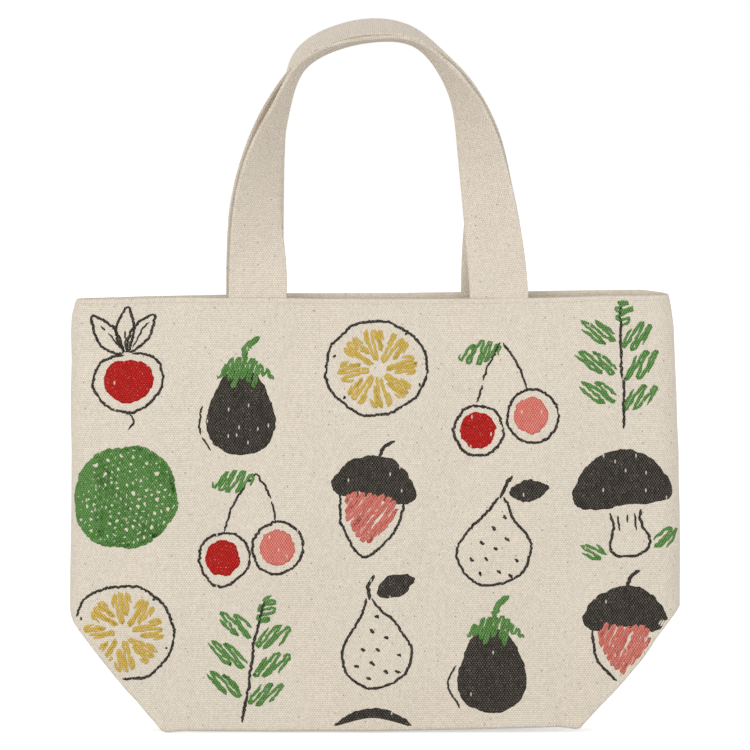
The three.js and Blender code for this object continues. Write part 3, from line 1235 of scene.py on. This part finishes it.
@dataclass
class Handle:
    """One strap handle, from its tail behind the rim over the top and back.

    The middle line runs through listed points. The strap leaves both legs
    flat to the front, turns inwards along them and crosses the top on edge.
    """

    side: Side
    stock: StrapStock
    feet: tuple[float, float]
    rim_depth: float
    rim: float
    tail: float
    line: Line
    steps: int = 420
    still: float = 25.0
    turn_reach: float = 4.0
    cup: float = 0.35
    cup_length: float = 31.0
    wave: float = 0.16
    wave_length: float = 9.0
    back_shift: float = 60.0

    def middle_line(self) -> np.ndarray:
        """The strap's middle line with its two sewn tails.

        Returns:
            Points, one row each, with the strap's turn in a last column.
        """
        drops = np.array([self.tail, 0.5 * self.tail, 0.0])
        left, right = (
            np.stack([np.full(3, x), np.full(3, self.rim_depth), self.rim - drops, np.zeros(3)], axis=-1)
            for x in self.feet
        )
        free = np.array(self.line) + np.array([0.0, 0.0, self.rim, 0.0])
        return spline(np.vstack([left, free, right[::-1]]), self.steps)

    def build(self, material: bpy.types.Material) -> bpy.types.Object:
        """Sweep the strap's section along its middle line.

        At each step the frame is the tangent, the direction out of the arch and
        the depth. The face turns from the front to inwards by the step's turn.
        The section cups a little and waves, and lies still at the rim.

        Args:
            material: The strap's finish.

        Returns:
            The handle's object.
        """
        line = self.middle_line()
        centre = line[:, :3]
        along = unit(np.gradient(centre, axis=0))
        length = run_length(centre)
        left, right = length - self.tail, length[-1] - self.tail - length
        calm = smooth(left / self.still) * smooth(right / self.still)
        turn = -np.radians(line[:, 3:4]) * smooth(np.minimum(left, right) / self.turn_reach)[:, None]
        outward = unit(np.cross(along, np.array([0.0, 1.0, 0.0])))
        away = np.cross(outward, along)
        face = -away * np.cos(turn) + outward * np.sin(turn)
        wide = np.cross(along, face)
        across, thick = self.stock.section()
        share = across / (0.5 * self.stock.width)
        phase = self.side.value
        cup = self.cup * np.sin(length / self.cup_length + phase)[:, None] * (share**2 - 0.4)[None, :]
        wave = self.wave * np.sin(length / self.wave_length + 2.0 * phase)[:, None] * share[None, :]
        lift = thick[None, :] + (cup + wave) * calm[:, None]
        rings = centre[:, None] + wide[:, None] * across[None, :, None] + face[:, None] * lift[..., None]
        v = across + np.where(thick > 0, 0.0, self.back_shift)
        flat = np.stack(np.broadcast_arrays(v[None, :], length[:, None]), axis=-1)
        shell = Shell()
        closed_tube(shell, rings, flat)
        return shell.build(f"{self.side.word}_strap", material)


@dataclass(frozen=True)
class StitchRow:
    """A row of lockstitches pressed into a wall at one height."""

    below_rim: float
    pitch: float = 3.2
    stitch: float = 2.4
    thread: float = 0.17
    side_margin: float = 2.0
    stray: float = 0.05
    stand: float = 1.1
    dive: float = 2.4

    def build(self, wall: Wall, material: bpy.types.Material, name: str) -> bpy.types.Object:
        """Make the row: each stitch is a short thread that dives at both ends.

        Args:
            wall: The wall that is sewn.
            material: The thread's finish.
            name: The object's name.

        Returns:
            The row's object.
        """
        reach = wall.reach - self.side_margin
        centres = np.arange(-reach, reach, self.pitch)
        t = np.linspace(-0.5, 0.5, 7)
        q = centres[:, None] + t[None, :] * self.stitch
        h = wall.height - self.below_rim + self.stray * np.sin(q * 1.3)
        rise = self.thread * (self.stand - (2.0 * t) ** 4 * self.dive)
        angle = round_turn(6)
        base = np.stack([wall.outside(q, h + self.thread * math.sin(a), 0.0) for a in angle], axis=2)
        out = wall.outside(q, h, 1.0) - wall.outside(q, h, 0.0)
        lift = rise[None, :, None] + self.thread * np.cos(angle)[None, None, :]
        rings = base + out[:, :, None, :] * lift[..., None]
        shell = Shell()
        around = np.repeat(angle[None, :] * self.thread, len(t), axis=0)
        for k in range(len(centres)):
            flat = np.stack([np.repeat(q[k][:, None], len(angle), axis=1), around], axis=-1)
            closed_tube(shell, rings[k], flat)
        return shell.build(name, material)


# A leaf's outline, along it and across, and that of a citrus segment, outwards and across
LEAF = (
    (0.0, 0.0), (0.25, 0.8), (0.55, 1.0), (0.85, 0.5), (1.0, 0.0), (0.85, -0.5), (0.55, -1.0), (0.25, -0.8),
)
SEGMENT = (
    (3.4, 0.0), (10.0, -2.8), (16.0, -4.9), (18.4, -4.0), (19.2, 0.0), (18.4, 4.0), (16.0, 4.9), (10.0, 2.8),
)


@dataclass
class Drawing:
    """Marks of one motif: filled blobs and crayon strokes, in its own millimetres."""

    blobs: list[tuple[Ink, np.ndarray]] = field(default_factory=list)
    strokes: list[tuple[Ink, np.ndarray, float]] = field(default_factory=list)

    def fill(self, outline: Outline, count: int = 90, ink: Ink = Ink.CHARCOAL) -> None:
        """Add a filled blob with a smooth outline through the points."""
        self.blobs.append((ink, spline(np.array(outline, float), count, closed=True)))

    def line(
        self, path: Outline, width: float = 1.05, closed: bool = False, ink: Ink = Ink.CHARCOAL
    ) -> None:
        """Add a stroke through the points.

        Args:
            path: The points.
            width: The stroke's width.
            closed: Join the last point to the first.
            ink: The stroke's ink.
        """
        p = np.array(path, float)
        length = np.linalg.norm(np.diff(p, axis=0), axis=1).sum() * (1.25 if closed else 1.0)
        curve = spline(p, max(int(length / 0.9), 6), closed)
        self.strokes.append((ink, np.vstack([curve, curve[:1]]) if closed else curve, width))

    def hatch(self, ink: Ink, outline: Outline, slant: float, gap: float = 2.1, width: float = 1.25) -> None:
        """Shade a shape with one crayon stroke that runs to and fro across it.

        The outline is turned by the slant and cut by level lines. Each line
        runs from the outline's first crossing to its last, the next one comes
        back, and the turns are joined.

        Args:
            ink: The stroke's ink.
            outline: Points of the closed outline.
            slant: Angle of the lines, in degrees.
            gap: Distance between lines.
            width: Width of the stroke.
        """
        level = spin(slant).T
        shape = spline(np.array(outline, float), 160, closed=True) @ level
        after = np.roll(shape, -1, axis=0)
        levels = np.arange(shape[:, 1].min() + 0.4 * gap, shape[:, 1].max(), gap)[:, None]
        y0, y1 = shape[None, :, 1], after[None, :, 1]
        cuts = (y0 - levels) * (y1 - levels) < 0.0
        step = np.where(cuts, (levels - y0) / np.where(cuts, y1 - y0, 1.0), 0.0)
        x = shape[None, :, 0] + step * (after[None, :, 0] - shape[None, :, 0])
        first = np.where(cuts, x, np.inf).min(axis=1)
        last = np.where(cuts, x, -np.inf).max(axis=1)
        odd = np.arange(len(levels)) % 2 == 1
        start, end = np.where(odd, last, first), np.where(odd, first, last)
        inset = 0.35 * np.sign(end - start)
        tilt = 0.12 * gap
        turns = (start + inset, levels[:, 0] - tilt, end - inset, levels[:, 0] + tilt)
        path = np.stack(turns, axis=1).reshape(-1, 2)
        run = run_length(path)
        even = np.linspace(0.0, run[-1], max(int(run[-1] / 1.3), 8))
        fine = np.stack([np.interp(even, run, path[:, k]) for k in range(2)], axis=1)
        self.strokes.append((ink, fine @ level.T, width))


def ellipse(cx: float, cy: float, rx: float, ry: float, count: int = 10) -> Outline:
    """Points of an ellipse by its middle and its half width and height."""
    a = round_turn(count)
    return list(zip(cx + rx * np.cos(a), cy + ry * np.sin(a)))


def leaf(base: tuple[float, float], tip: tuple[float, float], width: float) -> Outline:
    """Outline of a pointed leaf.

    Args:
        base: Where it starts.
        tip: Where it ends.
        width: Its greatest width.

    Returns:
        Points round the leaf.
    """
    along = np.array(tip) - np.array(base)
    side = unit(np.array([-along[1], along[0]])) * 0.5 * width
    return [tuple(base + u * along + v * side) for u, v in LEAF]


def mushroom() -> Drawing:
    """A toadstool: a solid dark cap over an outlined stem.

    Returns:
        The drawing.
    """
    d = Drawing()
    cap = [(-24, 1), (-21, 13), (-11, 22), (2, 25), (15, 20), (23, 9), (25, 0), (12, -3), (0, -2), (-12, -3)]
    d.fill(cap, 120)
    d.line([(-8, -5), (-7, -14), (-10, -23), (-3, -27), (6, -26), (10, -21), (7, -13), (8, -5)])
    for x in (-3.5, 0.5, 4.0):
        d.line([(x, -7), (x - 0.4, -11 - abs(x))], 0.8)
    d.hatch(Ink.GREEN, leaf((11, -25), (25, -17), 8), 35.0)
    d.hatch(Ink.GREEN, leaf((-12, -26), (-25, -20), 7), -35.0)
    return d


def radish() -> Drawing:
    """A round root with its leaves, its colour printed a little off its outline.

    Returns:
        The drawing.
    """
    d = Drawing()
    root = [(0, 4), (9, 2), (13, -5), (10, -13), (2, -17), (-7, -14), (-11, -6), (-8, 2)]
    d.fill(root, ink=Ink.RED)
    skin = [(3, 7), (14, 4), (18, -6), (13, -16), (2, -22), (-11, -17), (-17, -6), (-12, 4), (-1, 7)]
    d.line(skin)
    d.line([(1, -22), (3, -26), (0, -30)], 0.8)
    for tip, width in (((-15, 26), 10), ((1, 30), 9), ((16, 25), 10)):
        d.line(leaf((0.1 * tip[0], 8), tip, width), closed=True)
        d.line([(0.2 * tip[0], 11), (0.5 * tip[0], 17), (0.8 * tip[0], 22)], 0.7)
    return d


def citrus() -> Drawing:
    """Half a citrus fruit, cut across.

    Returns:
        The drawing.
    """
    d = Drawing()
    d.line(ellipse(0, 0, 25, 23.5, 14), closed=True)
    for k in range(8):
        outwards, side = spin(45.0 * k + math.degrees(0.2))
        segment = [tuple(outwards * u + side * v) for u, v in SEGMENT]
        d.hatch(Ink.MUSTARD, segment, 20.0 + 45.0 * k, 1.7, 1.3)
    for x, y in ((-22.4, 3), (21.8, -6), (-15, -17), (12, 18.4)):
        d.line([(x, y), (x + 0.8, y + 1.2)], 1.0)
    return d


def pear() -> Drawing:
    """A pear with freckles and one dark leaf.

    Returns:
        The drawing.
    """
    d = Drawing()
    skin = [
        (0, 17), (6, 8), (15, -4), (15, -18), (4, -26), (-10, -25), (-18, -14), (-13, 0), (-6, 9), (-2, 17),
    ]
    d.line(skin)
    d.line([(-1, 16), (0, 22), (3, 28)], 1.4)
    d.fill(leaf((3, 19), (22, 25), 11), 70)
    freckles = (
        (-8, -6), (-3, 2), (4, -3), (9, -12), (-12, -15), (-5, -14),
        (2, -19), (-1, -8), (8, -20), (-7, -21), (1, 8),
    )
    for x, y in freckles:
        d.line([(x, y), (x + 0.9, y - 0.6), (x + 1.9, y - 1.5)], 1.2)
    return d


def acorn() -> Drawing:
    """An acorn with a solid dark cup.

    Returns:
        The drawing.
    """
    d = Drawing()
    nut = [(-12, 0), (-11, -10), (-5, -19), (0, -22), (6, -18), (11, -9), (12, 0), (0, 2)]
    d.hatch(Ink.CORAL, nut, 62.0, 1.5, 1.35)
    d.line([(-16, 0), (-14, -13), (-6, -24), (0, -29), (7, -23), (15, -11), (16, 0)])
    cup = [(-20, 2), (-17, 13), (-7, 20), (6, 21), (16, 14), (21, 3), (11, -1), (0, 1), (-11, -1)]
    d.fill(cup, 110)
    d.line([(0, 20), (2, 25), (7, 29)], 1.5)
    return d


def berries() -> Drawing:
    """A pair of round berries on joined stalks.

    Returns:
        The drawing.
    """
    d = Drawing()
    for cx, cy, ink in ((-13, -13, Ink.RED), (14, -9, Ink.CORAL)):
        d.fill(ellipse(cx, cy, 8.6, 9.0), ink=ink)
        d.line(ellipse(cx + 0.6, cy - 0.4, 12.4, 12.8), closed=True)
    d.line([(-12, 0), (-6, 14), (5, 28)], 0.9)
    d.line([(14, 4), (11, 16), (5, 28)], 0.9)
    d.hatch(Ink.GREEN, leaf((4, 26), (-18, 23), 11), 60.0)
    return d


def aubergine() -> Drawing:
    """A dark aubergine with a green cap, hanging aslant.

    Returns:
        The drawing.
    """
    d = Drawing()
    fruit = [
        (-11, 13), (-17, 3), (-21, -9), (-17, -21), (-5, -26),
        (8, -22), (13, -10), (10, 3), (6, 12), (-2, 16),
    ]
    d.fill(fruit, 110)
    cap = [(-15, 12), (-10, 19), (-1, 22), (8, 18), (13, 10), (7, 12), (4, 6), (-1, 12), (-7, 7), (-9, 13)]
    d.hatch(Ink.GREEN, cap, 70.0, 1.5)
    d.line([(-1, 21), (1, 26), (8, 31)], 2.4, ink=Ink.GREEN)
    d.line([(-22, -1), (-25, -12), (-20, -23)], 0.8)
    return d


def sprig() -> Drawing:
    """A stem with paired leaves, shaded to and fro.

    Returns:
        The drawing.
    """
    d = Drawing()
    d.line([(-4, -30), (-1, -12), (1, 8), (6, 30)], 1.1)
    for x, y, out, up in ((-3, -20, 19, 9), (-1, -6, 21, 10), (1, 8, 18, 10)):
        d.hatch(Ink.GREEN, leaf((x + 1, y), (x + out, y + up), 9.5), 50.0)
        d.hatch(Ink.GREEN, leaf((x - 1, y + 4), (x - out, y + up + 6), 9.0), -50.0)
    d.hatch(Ink.GREEN, leaf((4, 19), (9, 34), 8.5), 10.0)
    return d


def cabbage() -> Drawing:
    """A round leafy head, shaded three times so that bits of cloth show through.

    Returns:
        The drawing.
    """
    d = Drawing()
    head = [
        (0, 24), (12, 22), (22, 13), (25, 0), (21, -13), (11, -22),
        (-2, -24), (-14, -21), (-23, -11), (-25, 2), (-20, 14), (-10, 22),
    ]
    for slant in (18.0, 78.0, 134.0):
        d.hatch(Ink.GREEN, head, slant, 3.0, 1.35)
    d.line(head, 1.6, closed=True, ink=Ink.GREEN)
    return d


# The motifs, and which one stands in each column and row of the print
MOTIFS = (mushroom, citrus, sprig, radish, acorn, cabbage, pear, berries, aubergine)
LAYOUT = ((1, 4, 6, 0), (8, 7, 2, 5), (3, 5, 1, 8), (2, 0, 4, 7), (7, 6, 8, 1))


@dataclass
class Print:
    """The all-over print of one wall: garden motifs in columns that step up and down.

    The first row stays whole under the rim, and the sides and the bottom fold
    cut the rest.
    """

    wall: Wall
    column_pitch: float = 61.0
    row_pitch: float = 64.5
    first_row: float = 34.0
    step: float = 16.0
    shift: float = 1.5
    turn: float = 9.0
    lift: float = 0.07
    blob_wobbles: Wobbles = ((0.20, 2), (0.22, 1))
    stroke_wobbles: Wobbles = ((0.38, 5), (0.1, 0))
    ring_step: float = 1.2
    spread: float = 0.62
    ragged: float = 0.2
    fine: float = 1.0
    skips: float = 0.02
    seed: int = 41

    def __post_init__(self) -> None:
        """Start a shell for each ink, and the random draws."""
        self.shells = {ink: Shell() for ink in Ink}
        self.rng = np.random.default_rng(self.seed + self.wall.side.value)

    def build(self, finishes: dict[Ink, bpy.types.Material]) -> list[bpy.types.Object]:
        """Lay out the motifs and make one object for each ink.

        Args:
            finishes: The material of each ink.

        Returns:
            The print's objects.
        """
        columns = int(self.wall.reach / self.column_pitch + 0.5)
        rows = int(self.wall.height / self.row_pitch) + 1
        for c in range(-columns, columns + 1):
            for r in range(rows):
                below = self.first_row + r * self.row_pitch + self.step * (c % 2)
                jitter = self.rng.uniform(-self.shift, self.shift, 2)
                place = np.array([c * self.column_pitch, self.wall.height - below]) + jitter
                turn = float(self.rng.uniform(-self.turn, self.turn))
                column = LAYOUT[(c * self.wall.side.value) % len(LAYOUT)]
                self._place(MOTIFS[column[r % len(column)]](), place, turn)
        return [
            shell.build(f"{self.wall.side.word}_print_{ink.name.lower()}", finishes[ink])
            for ink, shell in self.shells.items()
            if shell.size
        ]

    def _place(self, drawing: Drawing, place: np.ndarray, turn: float) -> None:
        """Turn and move a drawing onto the wall, with a hand's wobble.

        Args:
            drawing: The motif.
            place: Where its middle goes.
            turn: How far it is turned, in degrees.
        """
        turned = spin(turn)
        for ink, outline in drawing.blobs:
            wobble = sum(self._wobble(len(outline), *kind) for kind in self.blob_wobbles)
            self._blob(ink, outline @ turned + place + wobble)
        for ink, path, width in drawing.strokes:
            wobble = sum(self._wobble(len(path), *kind) for kind in self.stroke_wobbles)
            closed = np.linalg.norm(path[0] - path[-1]) < 0.01
            fade = np.linspace(0.0, 1.0, len(path))[:, None] if closed else 0.0
            wobble = wobble - fade * (wobble[-1] - wobble[0])
            self._stroke(ink, path @ turned + place + wobble, width)

    def _wobble(self, count: int, size: float, reach: int) -> np.ndarray:
        """Smooth random offsets: white noise averaged over a few neighbours.

        Args:
            count: Number of offsets.
            size: Their size, as a standard deviation.
            reach: Neighbours taken in on each side.

        Returns:
            Offsets, one row each.
        """
        raw = self.rng.standard_normal((2, count + 2 * reach))
        kernel = np.ones(2 * reach + 1) / math.sqrt(2 * reach + 1)
        return size * np.stack([np.convolve(row, kernel, mode="valid") for row in raw], axis=1)

    def _clip(self, outline: np.ndarray) -> np.ndarray:
        """Cut a closed outline to the wall, one half plane after another.

        For each half plane the points inside are kept, and the crossing is put
        in after each point whose edge leaves or enters.

        Args:
            outline: Points of the outline.

        Returns:
            Points of what is left of it.
        """
        for normal, offset in zip(*self.wall.domain()):
            if len(outline) < 3:
                return outline
            ahead = np.roll(outline, -1, axis=0)
            here, there = outline @ normal - offset, ahead @ normal - offset
            crosses = (here >= 0.0) != (there >= 0.0)
            share = here / np.where(crosses, here - there, 1.0)
            meeting = outline + (ahead - outline) * share[:, None]
            both = np.stack([outline, meeting], axis=1).reshape(-1, 2)
            outline = both[np.stack([here >= 0.0, crosses], axis=1).ravel()]
        return outline

    def _blob(self, ink: Ink, outline: np.ndarray) -> None:
        """Add a filled blob as a thin closed skin of rings about its middle.

        Args:
            ink: The blob's ink.
            outline: Points round it.
        """
        outline = self._clip(outline)
        if len(outline) < 5:
            return
        middle = outline.mean(axis=0)
        size = np.max(np.linalg.norm(outline - middle, axis=1))
        if size < 1.0:
            return
        rings = max(int(size / self.ring_step), 2)
        share = np.linspace(0.0, 1.0, rings + 1)[1:, None, None]
        top = middle + (outline - middle)[None] * share
        skins = []
        for z in (self.lift, -2.0 * self.lift):
            skins.append(self.wall.outside(middle[:1], middle[1:], z))
            skins.append(self.wall.outside(top[..., 0], top[..., 1], z).reshape(-1, 3))
        flat = np.vstack([middle[None], top.reshape(-1, 2)])
        count = len(outline)
        k = np.arange(count)
        after = (k + 1) % count
        below = rings * count + 1
        edge = (rings - 1) * count + 1
        faces = [
            np.stack([np.zeros(count, int), k + 1, after + 1], axis=-1),
            grid_quads(rings, count, 1, wrap=True)[:, ::-1],
            np.stack([np.full(count, below), below + after + 1, below + k + 1], axis=-1),
            grid_quads(rings, count, below + 1, wrap=True),
            np.stack([edge + k, below + edge + k, below + edge + after, edge + after], axis=-1),
        ]
        self.shells[ink].add(np.vstack(skins), np.vstack([flat, flat]), faces)

    def _stroke(self, ink: Ink, path: np.ndarray, width: float) -> None:
        """Add a stroke, cut where it leaves the wall and lifted off now and then.

        Args:
            ink: The stroke's ink.
            path: Points along it.
            width: Its width. Only a fine one is lifted off.
        """
        normals, offsets = self.wall.domain()
        inside = np.all(path @ normals.T >= offsets + 0.5 * width, axis=1)
        if width < self.fine:
            inside &= self.rng.random(len(path)) >= self.skips
        cuts = np.flatnonzero(np.diff(inside.astype(int))) + 1
        for part, keep in zip(np.split(path, cuts), np.split(inside, cuts)):
            if keep[0] and len(part) > 2:
                self._ribbon(ink, part, width)

    def _ribbon(self, ink: Ink, path: np.ndarray, width: float) -> None:
        """Add one unbroken ribbon of uneven width along a path on the wall.

        Args:
            ink: The ribbon's ink.
            path: Points along it.
            width: Its mean width.
        """
        along = unit(np.gradient(path, axis=0))
        side = np.stack([-along[:, 1], along[:, 0]], axis=-1)
        half = self.spread * width * (1.0 + self._wobble(len(path), self.ragged, 0).T)
        t = np.linspace(0.0, 1.0, len(path))
        taper = np.clip(np.minimum(t, 1.0 - t) * len(path) / 1.5, 0.35, 1.0)
        left = path + side * (half[0] * taper)[:, None]
        right = path - side * (half[1] * taper)[:, None]
        z = self.lift + 0.03
        corners = ((left, z), (right, z), (right, -z), (left, -z))
        ring = [self.wall.outside(at[:, 0], at[:, 1], height) for at, height in corners]
        flat = np.stack([at for at, _ in corners], axis=1)
        closed_tube(self.shells[ink], np.stack(ring, axis=1), flat)


@dataclass(frozen=True)
class Lamp:
    """A square soft lamp: its place and size in metres and its power in watts."""

    name: str
    place: tuple[float, float, float]
    power: float
    size: float = 1.8

    def build(self, aim: tuple[float, float, float]) -> None:
        """Make the lamp and face it to a point.

        Args:
            aim: The point, in metres.
        """
        data = bpy.data.lights.new(self.name, "AREA")
        data.shape = "SQUARE"
        data.size = self.size
        data.energy = self.power
        lamp = linked(self.name, data)
        lamp.location = self.place
        x, y, z = np.array(aim) - np.array(self.place)
        lamp.rotation_euler = (math.atan2(math.hypot(x, y), -z), 0.0, math.atan2(y, x) - math.pi / 2)


@dataclass(frozen=True)
class Studio:
    """Floor, lamps and camera, in metres. The camera stands at the photograph's angle."""

    span: float = 0.36945
    aim: tuple[float, float, float] = (0.0002, 0.0, 0.1759)
    distance: float = 2.4
    elevation: float = 3.6
    sensor: float = 36.0
    sky: float = 1.04
    sky_drop: float = 0.48
    sky_limits: tuple[float, float] = (0.15, 0.95)
    floor_tone: float = 0.82
    floor_glow: float = 0.6
    floor_reach: float = 8.0
    lamps: tuple[Lamp, ...] = (
        Lamp("key", (-1.25, -1.65, 0.8), 12.6),
        Lamp("fill", (1.35, -1.6, 0.3), 9.0),
    )

    def camera(self) -> None:
        """Make a long lens aimed at the bag, framed as the photograph is."""
        data = bpy.data.cameras.new("camera")
        data.sensor_width = self.sensor
        data.lens = self.sensor * self.distance / self.span
        cam = linked("camera", data)
        up = math.radians(self.elevation)
        x, y, z = self.aim
        cam.location = (x, y - self.distance * math.cos(up), z + self.distance * math.sin(up))
        cam.rotation_euler = (math.radians(90.0) - up, 0.0, 0.0)
        bpy.context.scene.camera = cam

    def seen(self, graph: Graph) -> Term:
        """What the camera sees, straight, in gloss or through something.

        Args:
            graph: Node tree under construction.

        Returns:
            1 where it is seen and 0 elsewhere.
        """
        path = graph.node("ShaderNodeLightPath").outputs
        direct = graph.math("MAXIMUM", path["Is Camera Ray"], path["Is Glossy Ray"])
        return graph.math("MAXIMUM", direct, path["Is Transmission Ray"])

    def world(self) -> None:
        """White where it is seen, and a soft light that is weaker from overhead."""
        world = bpy.data.worlds.new("studio")
        bpy.context.scene.world = world
        graph = Graph(world)
        height = graph.axes(graph.node("ShaderNodeTexCoord").outputs["Generated"])[2]
        sky = graph.ramp(height, *self.sky_limits) * -self.sky_drop + self.sky
        light = graph.node("ShaderNodeBackground", Color=WHITE, Strength=sky).outputs[0]
        back = graph.node("ShaderNodeBackground", Color=WHITE).outputs[0]
        mix = graph.feed(graph.node("ShaderNodeMixShader"), self.seen(graph), light, back)
        graph.node("ShaderNodeOutputWorld", Surface=mix)

    def floor(self) -> None:
        """A wide pale floor that reads white and keeps a light shadow."""
        graph = Graph.material("floor")
        tone = self.floor_tone
        pale = graph.node("ShaderNodeBsdfDiffuse", Color=(tone, tone, tone, 1.0)).outputs[0]
        glow = graph.node("ShaderNodeEmission", Strength=self.seen(graph) * self.floor_glow).outputs[0]
        both = graph.feed(graph.node("ShaderNodeAddShader"), pale, glow)
        graph.node("ShaderNodeOutputMaterial", Surface=both)
        r = self.floor_reach
        mesh = bpy.data.meshes.new("floor")
        mesh.from_pydata([(-r, -r, 0.0), (r, -r, 0.0), (r, r, 0.0), (-r, r, 0.0)], [], [(0, 1, 2, 3)])
        mesh.materials.append(graph.owner)
        linked("floor", mesh)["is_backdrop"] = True

    def build(self) -> None:
        """Set up the whole studio."""
        self.camera()
        self.world()
        self.floor()
        for lamp in self.lamps:
            lamp.build(self.aim)
        bpy.context.scene.view_settings.view_transform = "Standard"


# Middle lines of the handles: across, depth, height above the rim, inward turn in degrees
FRONT_LINE: Line = (
    (-57.5, -9.0, 20.0, 17.0), (-57.9, -9.1, 39.5, 34.0), (-56.1, -9.2, 59.0, 48.0),
    (-51.6, -9.2, 77.7, 61.0), (-44.9, -9.0, 96.0, 75.0), (-36.1, -8.7, 113.3, 83.0),
    (-19.0, -8.2, 123.1, 85.0), (0.0, -8.0, 126.7, 87.0), (19.6, -8.2, 124.9, 86.0),
    (34.2, -8.7, 112.3, 77.0), (44.7, -9.0, 95.7, 62.0), (50.5, -9.2, 77.0, 47.0),
    (54.3, -9.2, 58.0, 33.0), (57.3, -9.1, 38.8, 22.0), (59.7, -9.0, 19.5, 11.0),
)
BACK_LINE: Line = (
    (-59.1, 9.0, 19.7, 10.0), (-58.5, 9.1, 39.9, 21.0), (-56.2, 9.2, 60.0, 37.0),
    (-52.3, 9.2, 79.7, 56.0), (-46.7, 9.0, 99.2, 76.0), (-37.6, 8.7, 118.3, 99.5),
    (-20.3, 8.2, 129.0, 106.0), (-0.7, 8.0, 133.0, 105.6), (18.7, 8.2, 130.0, 100.2),
    (35.9, 8.7, 118.0, 91.6), (50.2, 9.0, 101.4, 89.0), (56.3, 9.2, 80.9, 73.0),
    (56.8, 9.2, 60.1, 49.0), (57.4, 9.1, 39.9, 27.0), (57.3, 9.0, 19.6, 9.0),
)


@dataclass
class Tote:
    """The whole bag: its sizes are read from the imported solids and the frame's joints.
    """

    joints: list[dict]
    thickness: float = 1.0
    hinge_bend: float = 9.0
    stitches_below_rim: float = 2.2

    def __post_init__(self) -> None:
        """Read the solids and make the finishes."""
        low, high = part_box("front_cloth")
        hinge = next(j["pos_m"] for j in self.joints if j["name"] == "front_handle_fold")
        self.rim = float(round(high[2] / MM, 1))
        self.rim_half_depth = -hinge[1] / MM
        self.walls = {
            side: Wall(
                side=side,
                half_width=high[0] / MM - 0.5 * self.thickness,
                height=self.rim,
                half_depth=-low[1] / MM - 0.5 * self.thickness,
                rim_half_depth=self.rim_half_depth,
                bottom_half=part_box("right_corner_seam_tape")[1][0] / MM,
                thickness=self.thickness,
                tuck_height=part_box("bottom_seam_tape")[0][2] / MM - SEWN_GAP,
            )
            for side in Side
        }
        self.stock = StrapStock()
        self.canvas = ClothFinish("natural_canvas").build()
        self.strap = ClothFinish("strap_canvas", (221, 210, 194), flecks=0.7).build()
        self.thread = ThreadFinish("sewing_thread", (228, 219, 202)).build()
        self.tape = TapeFinish("seam_tape", (230, 223, 210)).build()
        self.inks = {ink: ClothFinish(f"ink_{ink.name.lower()}", ink=ink).build() for ink in Ink}

    def tails(self, side: Side) -> tuple[tuple[float, float], float, float]:
        """Where a handle's tails lie, from their solids.

        Args:
            side: The wall that they are sewn to.

        Returns:
            The middles of the two tails, their depth and their length.
        """
        boxes = [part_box(f"{side.word}_strap_tail_{hand}") for hand in HANDS]
        feet = tuple((low[0] + high[0]) / 2.0 / MM for low, high in boxes)
        layers = 0.5 * self.thickness + SEWN_GAP + 0.5 * self.stock.thickness
        depth = (self.rim_half_depth - layers) * side.value
        return feet, depth, (boxes[0][1][2] - boxes[0][0][2]) / MM

    def fix(self, piece: bpy.types.Object, slot: str, *nodes: str) -> None:
        """Let a piece ride on the bag's body and stand for its solids.

        Args:
            piece: The piece.
            slot: The record's slot for its material. It is not used.
            *nodes: The solids that it stands for, if any.
        """
        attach(piece, BAG)
        if nodes:
            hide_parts(*nodes)

    def build_side(self, side: Side) -> None:
        """Make everything that belongs to one wall.

        Args:
            side: Front or back.
        """
        wall, word = self.walls[side], side.word
        body = BodyCloth(wall)
        cloth = body.build(self.canvas)
        self.fix(cloth, "natural_canvas", f"{word}_cloth")
        feet, depth, tail = self.tails(side)
        low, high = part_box(f"{word}_facing")
        band = RimBand(wall, feet, self.stock, (high[2] - low[2]) / MM).build(self.canvas)
        self.fix(band, "natural_canvas", f"{word}_facing")
        row = StitchRow(self.stitches_below_rim).build(wall, self.thread, f"{word}_rim_stitches")
        prints = Print(wall).build(self.inks)
        for piece in (row, *prints):
            self.fix(piece, "natural_canvas")
        flat, area = body.cut()
        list(prints)
        line = FRONT_LINE if side is Side.FRONT else BACK_LINE
        handle = Handle(side, self.stock, feet, depth, self.rim, tail, line)
        self.hang(handle.build(self.strap), side)

    def hang(self, piece: bpy.types.Object, side: Side) -> None:
        """Hide a handle's solids and bake its place into its mesh.

        Args:
            piece: The handle's object.
            side: Front or back.
        """
        word = side.word
        tails = [f"{word}_strap_tail_{hand}" for hand in HANDS]
        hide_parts(f"{word}_handle_strap", *tails)
        top = self.rim * MM
        top + self.hinge_bend * MM
        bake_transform(piece)

    def dress_tapes(self) -> None:
        """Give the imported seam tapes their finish."""
        names = ["bottom_seam_tape"]
        names += [f"{hand}_{kind}_seam_tape" for hand in HANDS for kind in ("side", "corner")]
        for name in names:
            obj = bpy.data.objects[name]
            obj.data.materials.clear()
            obj.data.materials.append(self.tape)
            log.info("%s: dressed", name)


def corners(box: tuple[object, object]) -> list[list[float]]:
    """A box's two corners as plain lists."""
    return [[float(v) for v in corner] for corner in box]


def main() -> None:
    """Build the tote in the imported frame."""
    logging.basicConfig(level=logging.INFO, format="%(name)s: %(message)s")
    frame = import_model()
    packed = corners(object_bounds())
    Studio().build()
    tote = Tote(frame["joints"])
    for side in Side:
        tote.build_side(side)
    tote.dress_tapes()
    shown = corners(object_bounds())
    log.info("packed box %s, shown box %s", packed, shown)


if __name__ == "__main__":
    main()
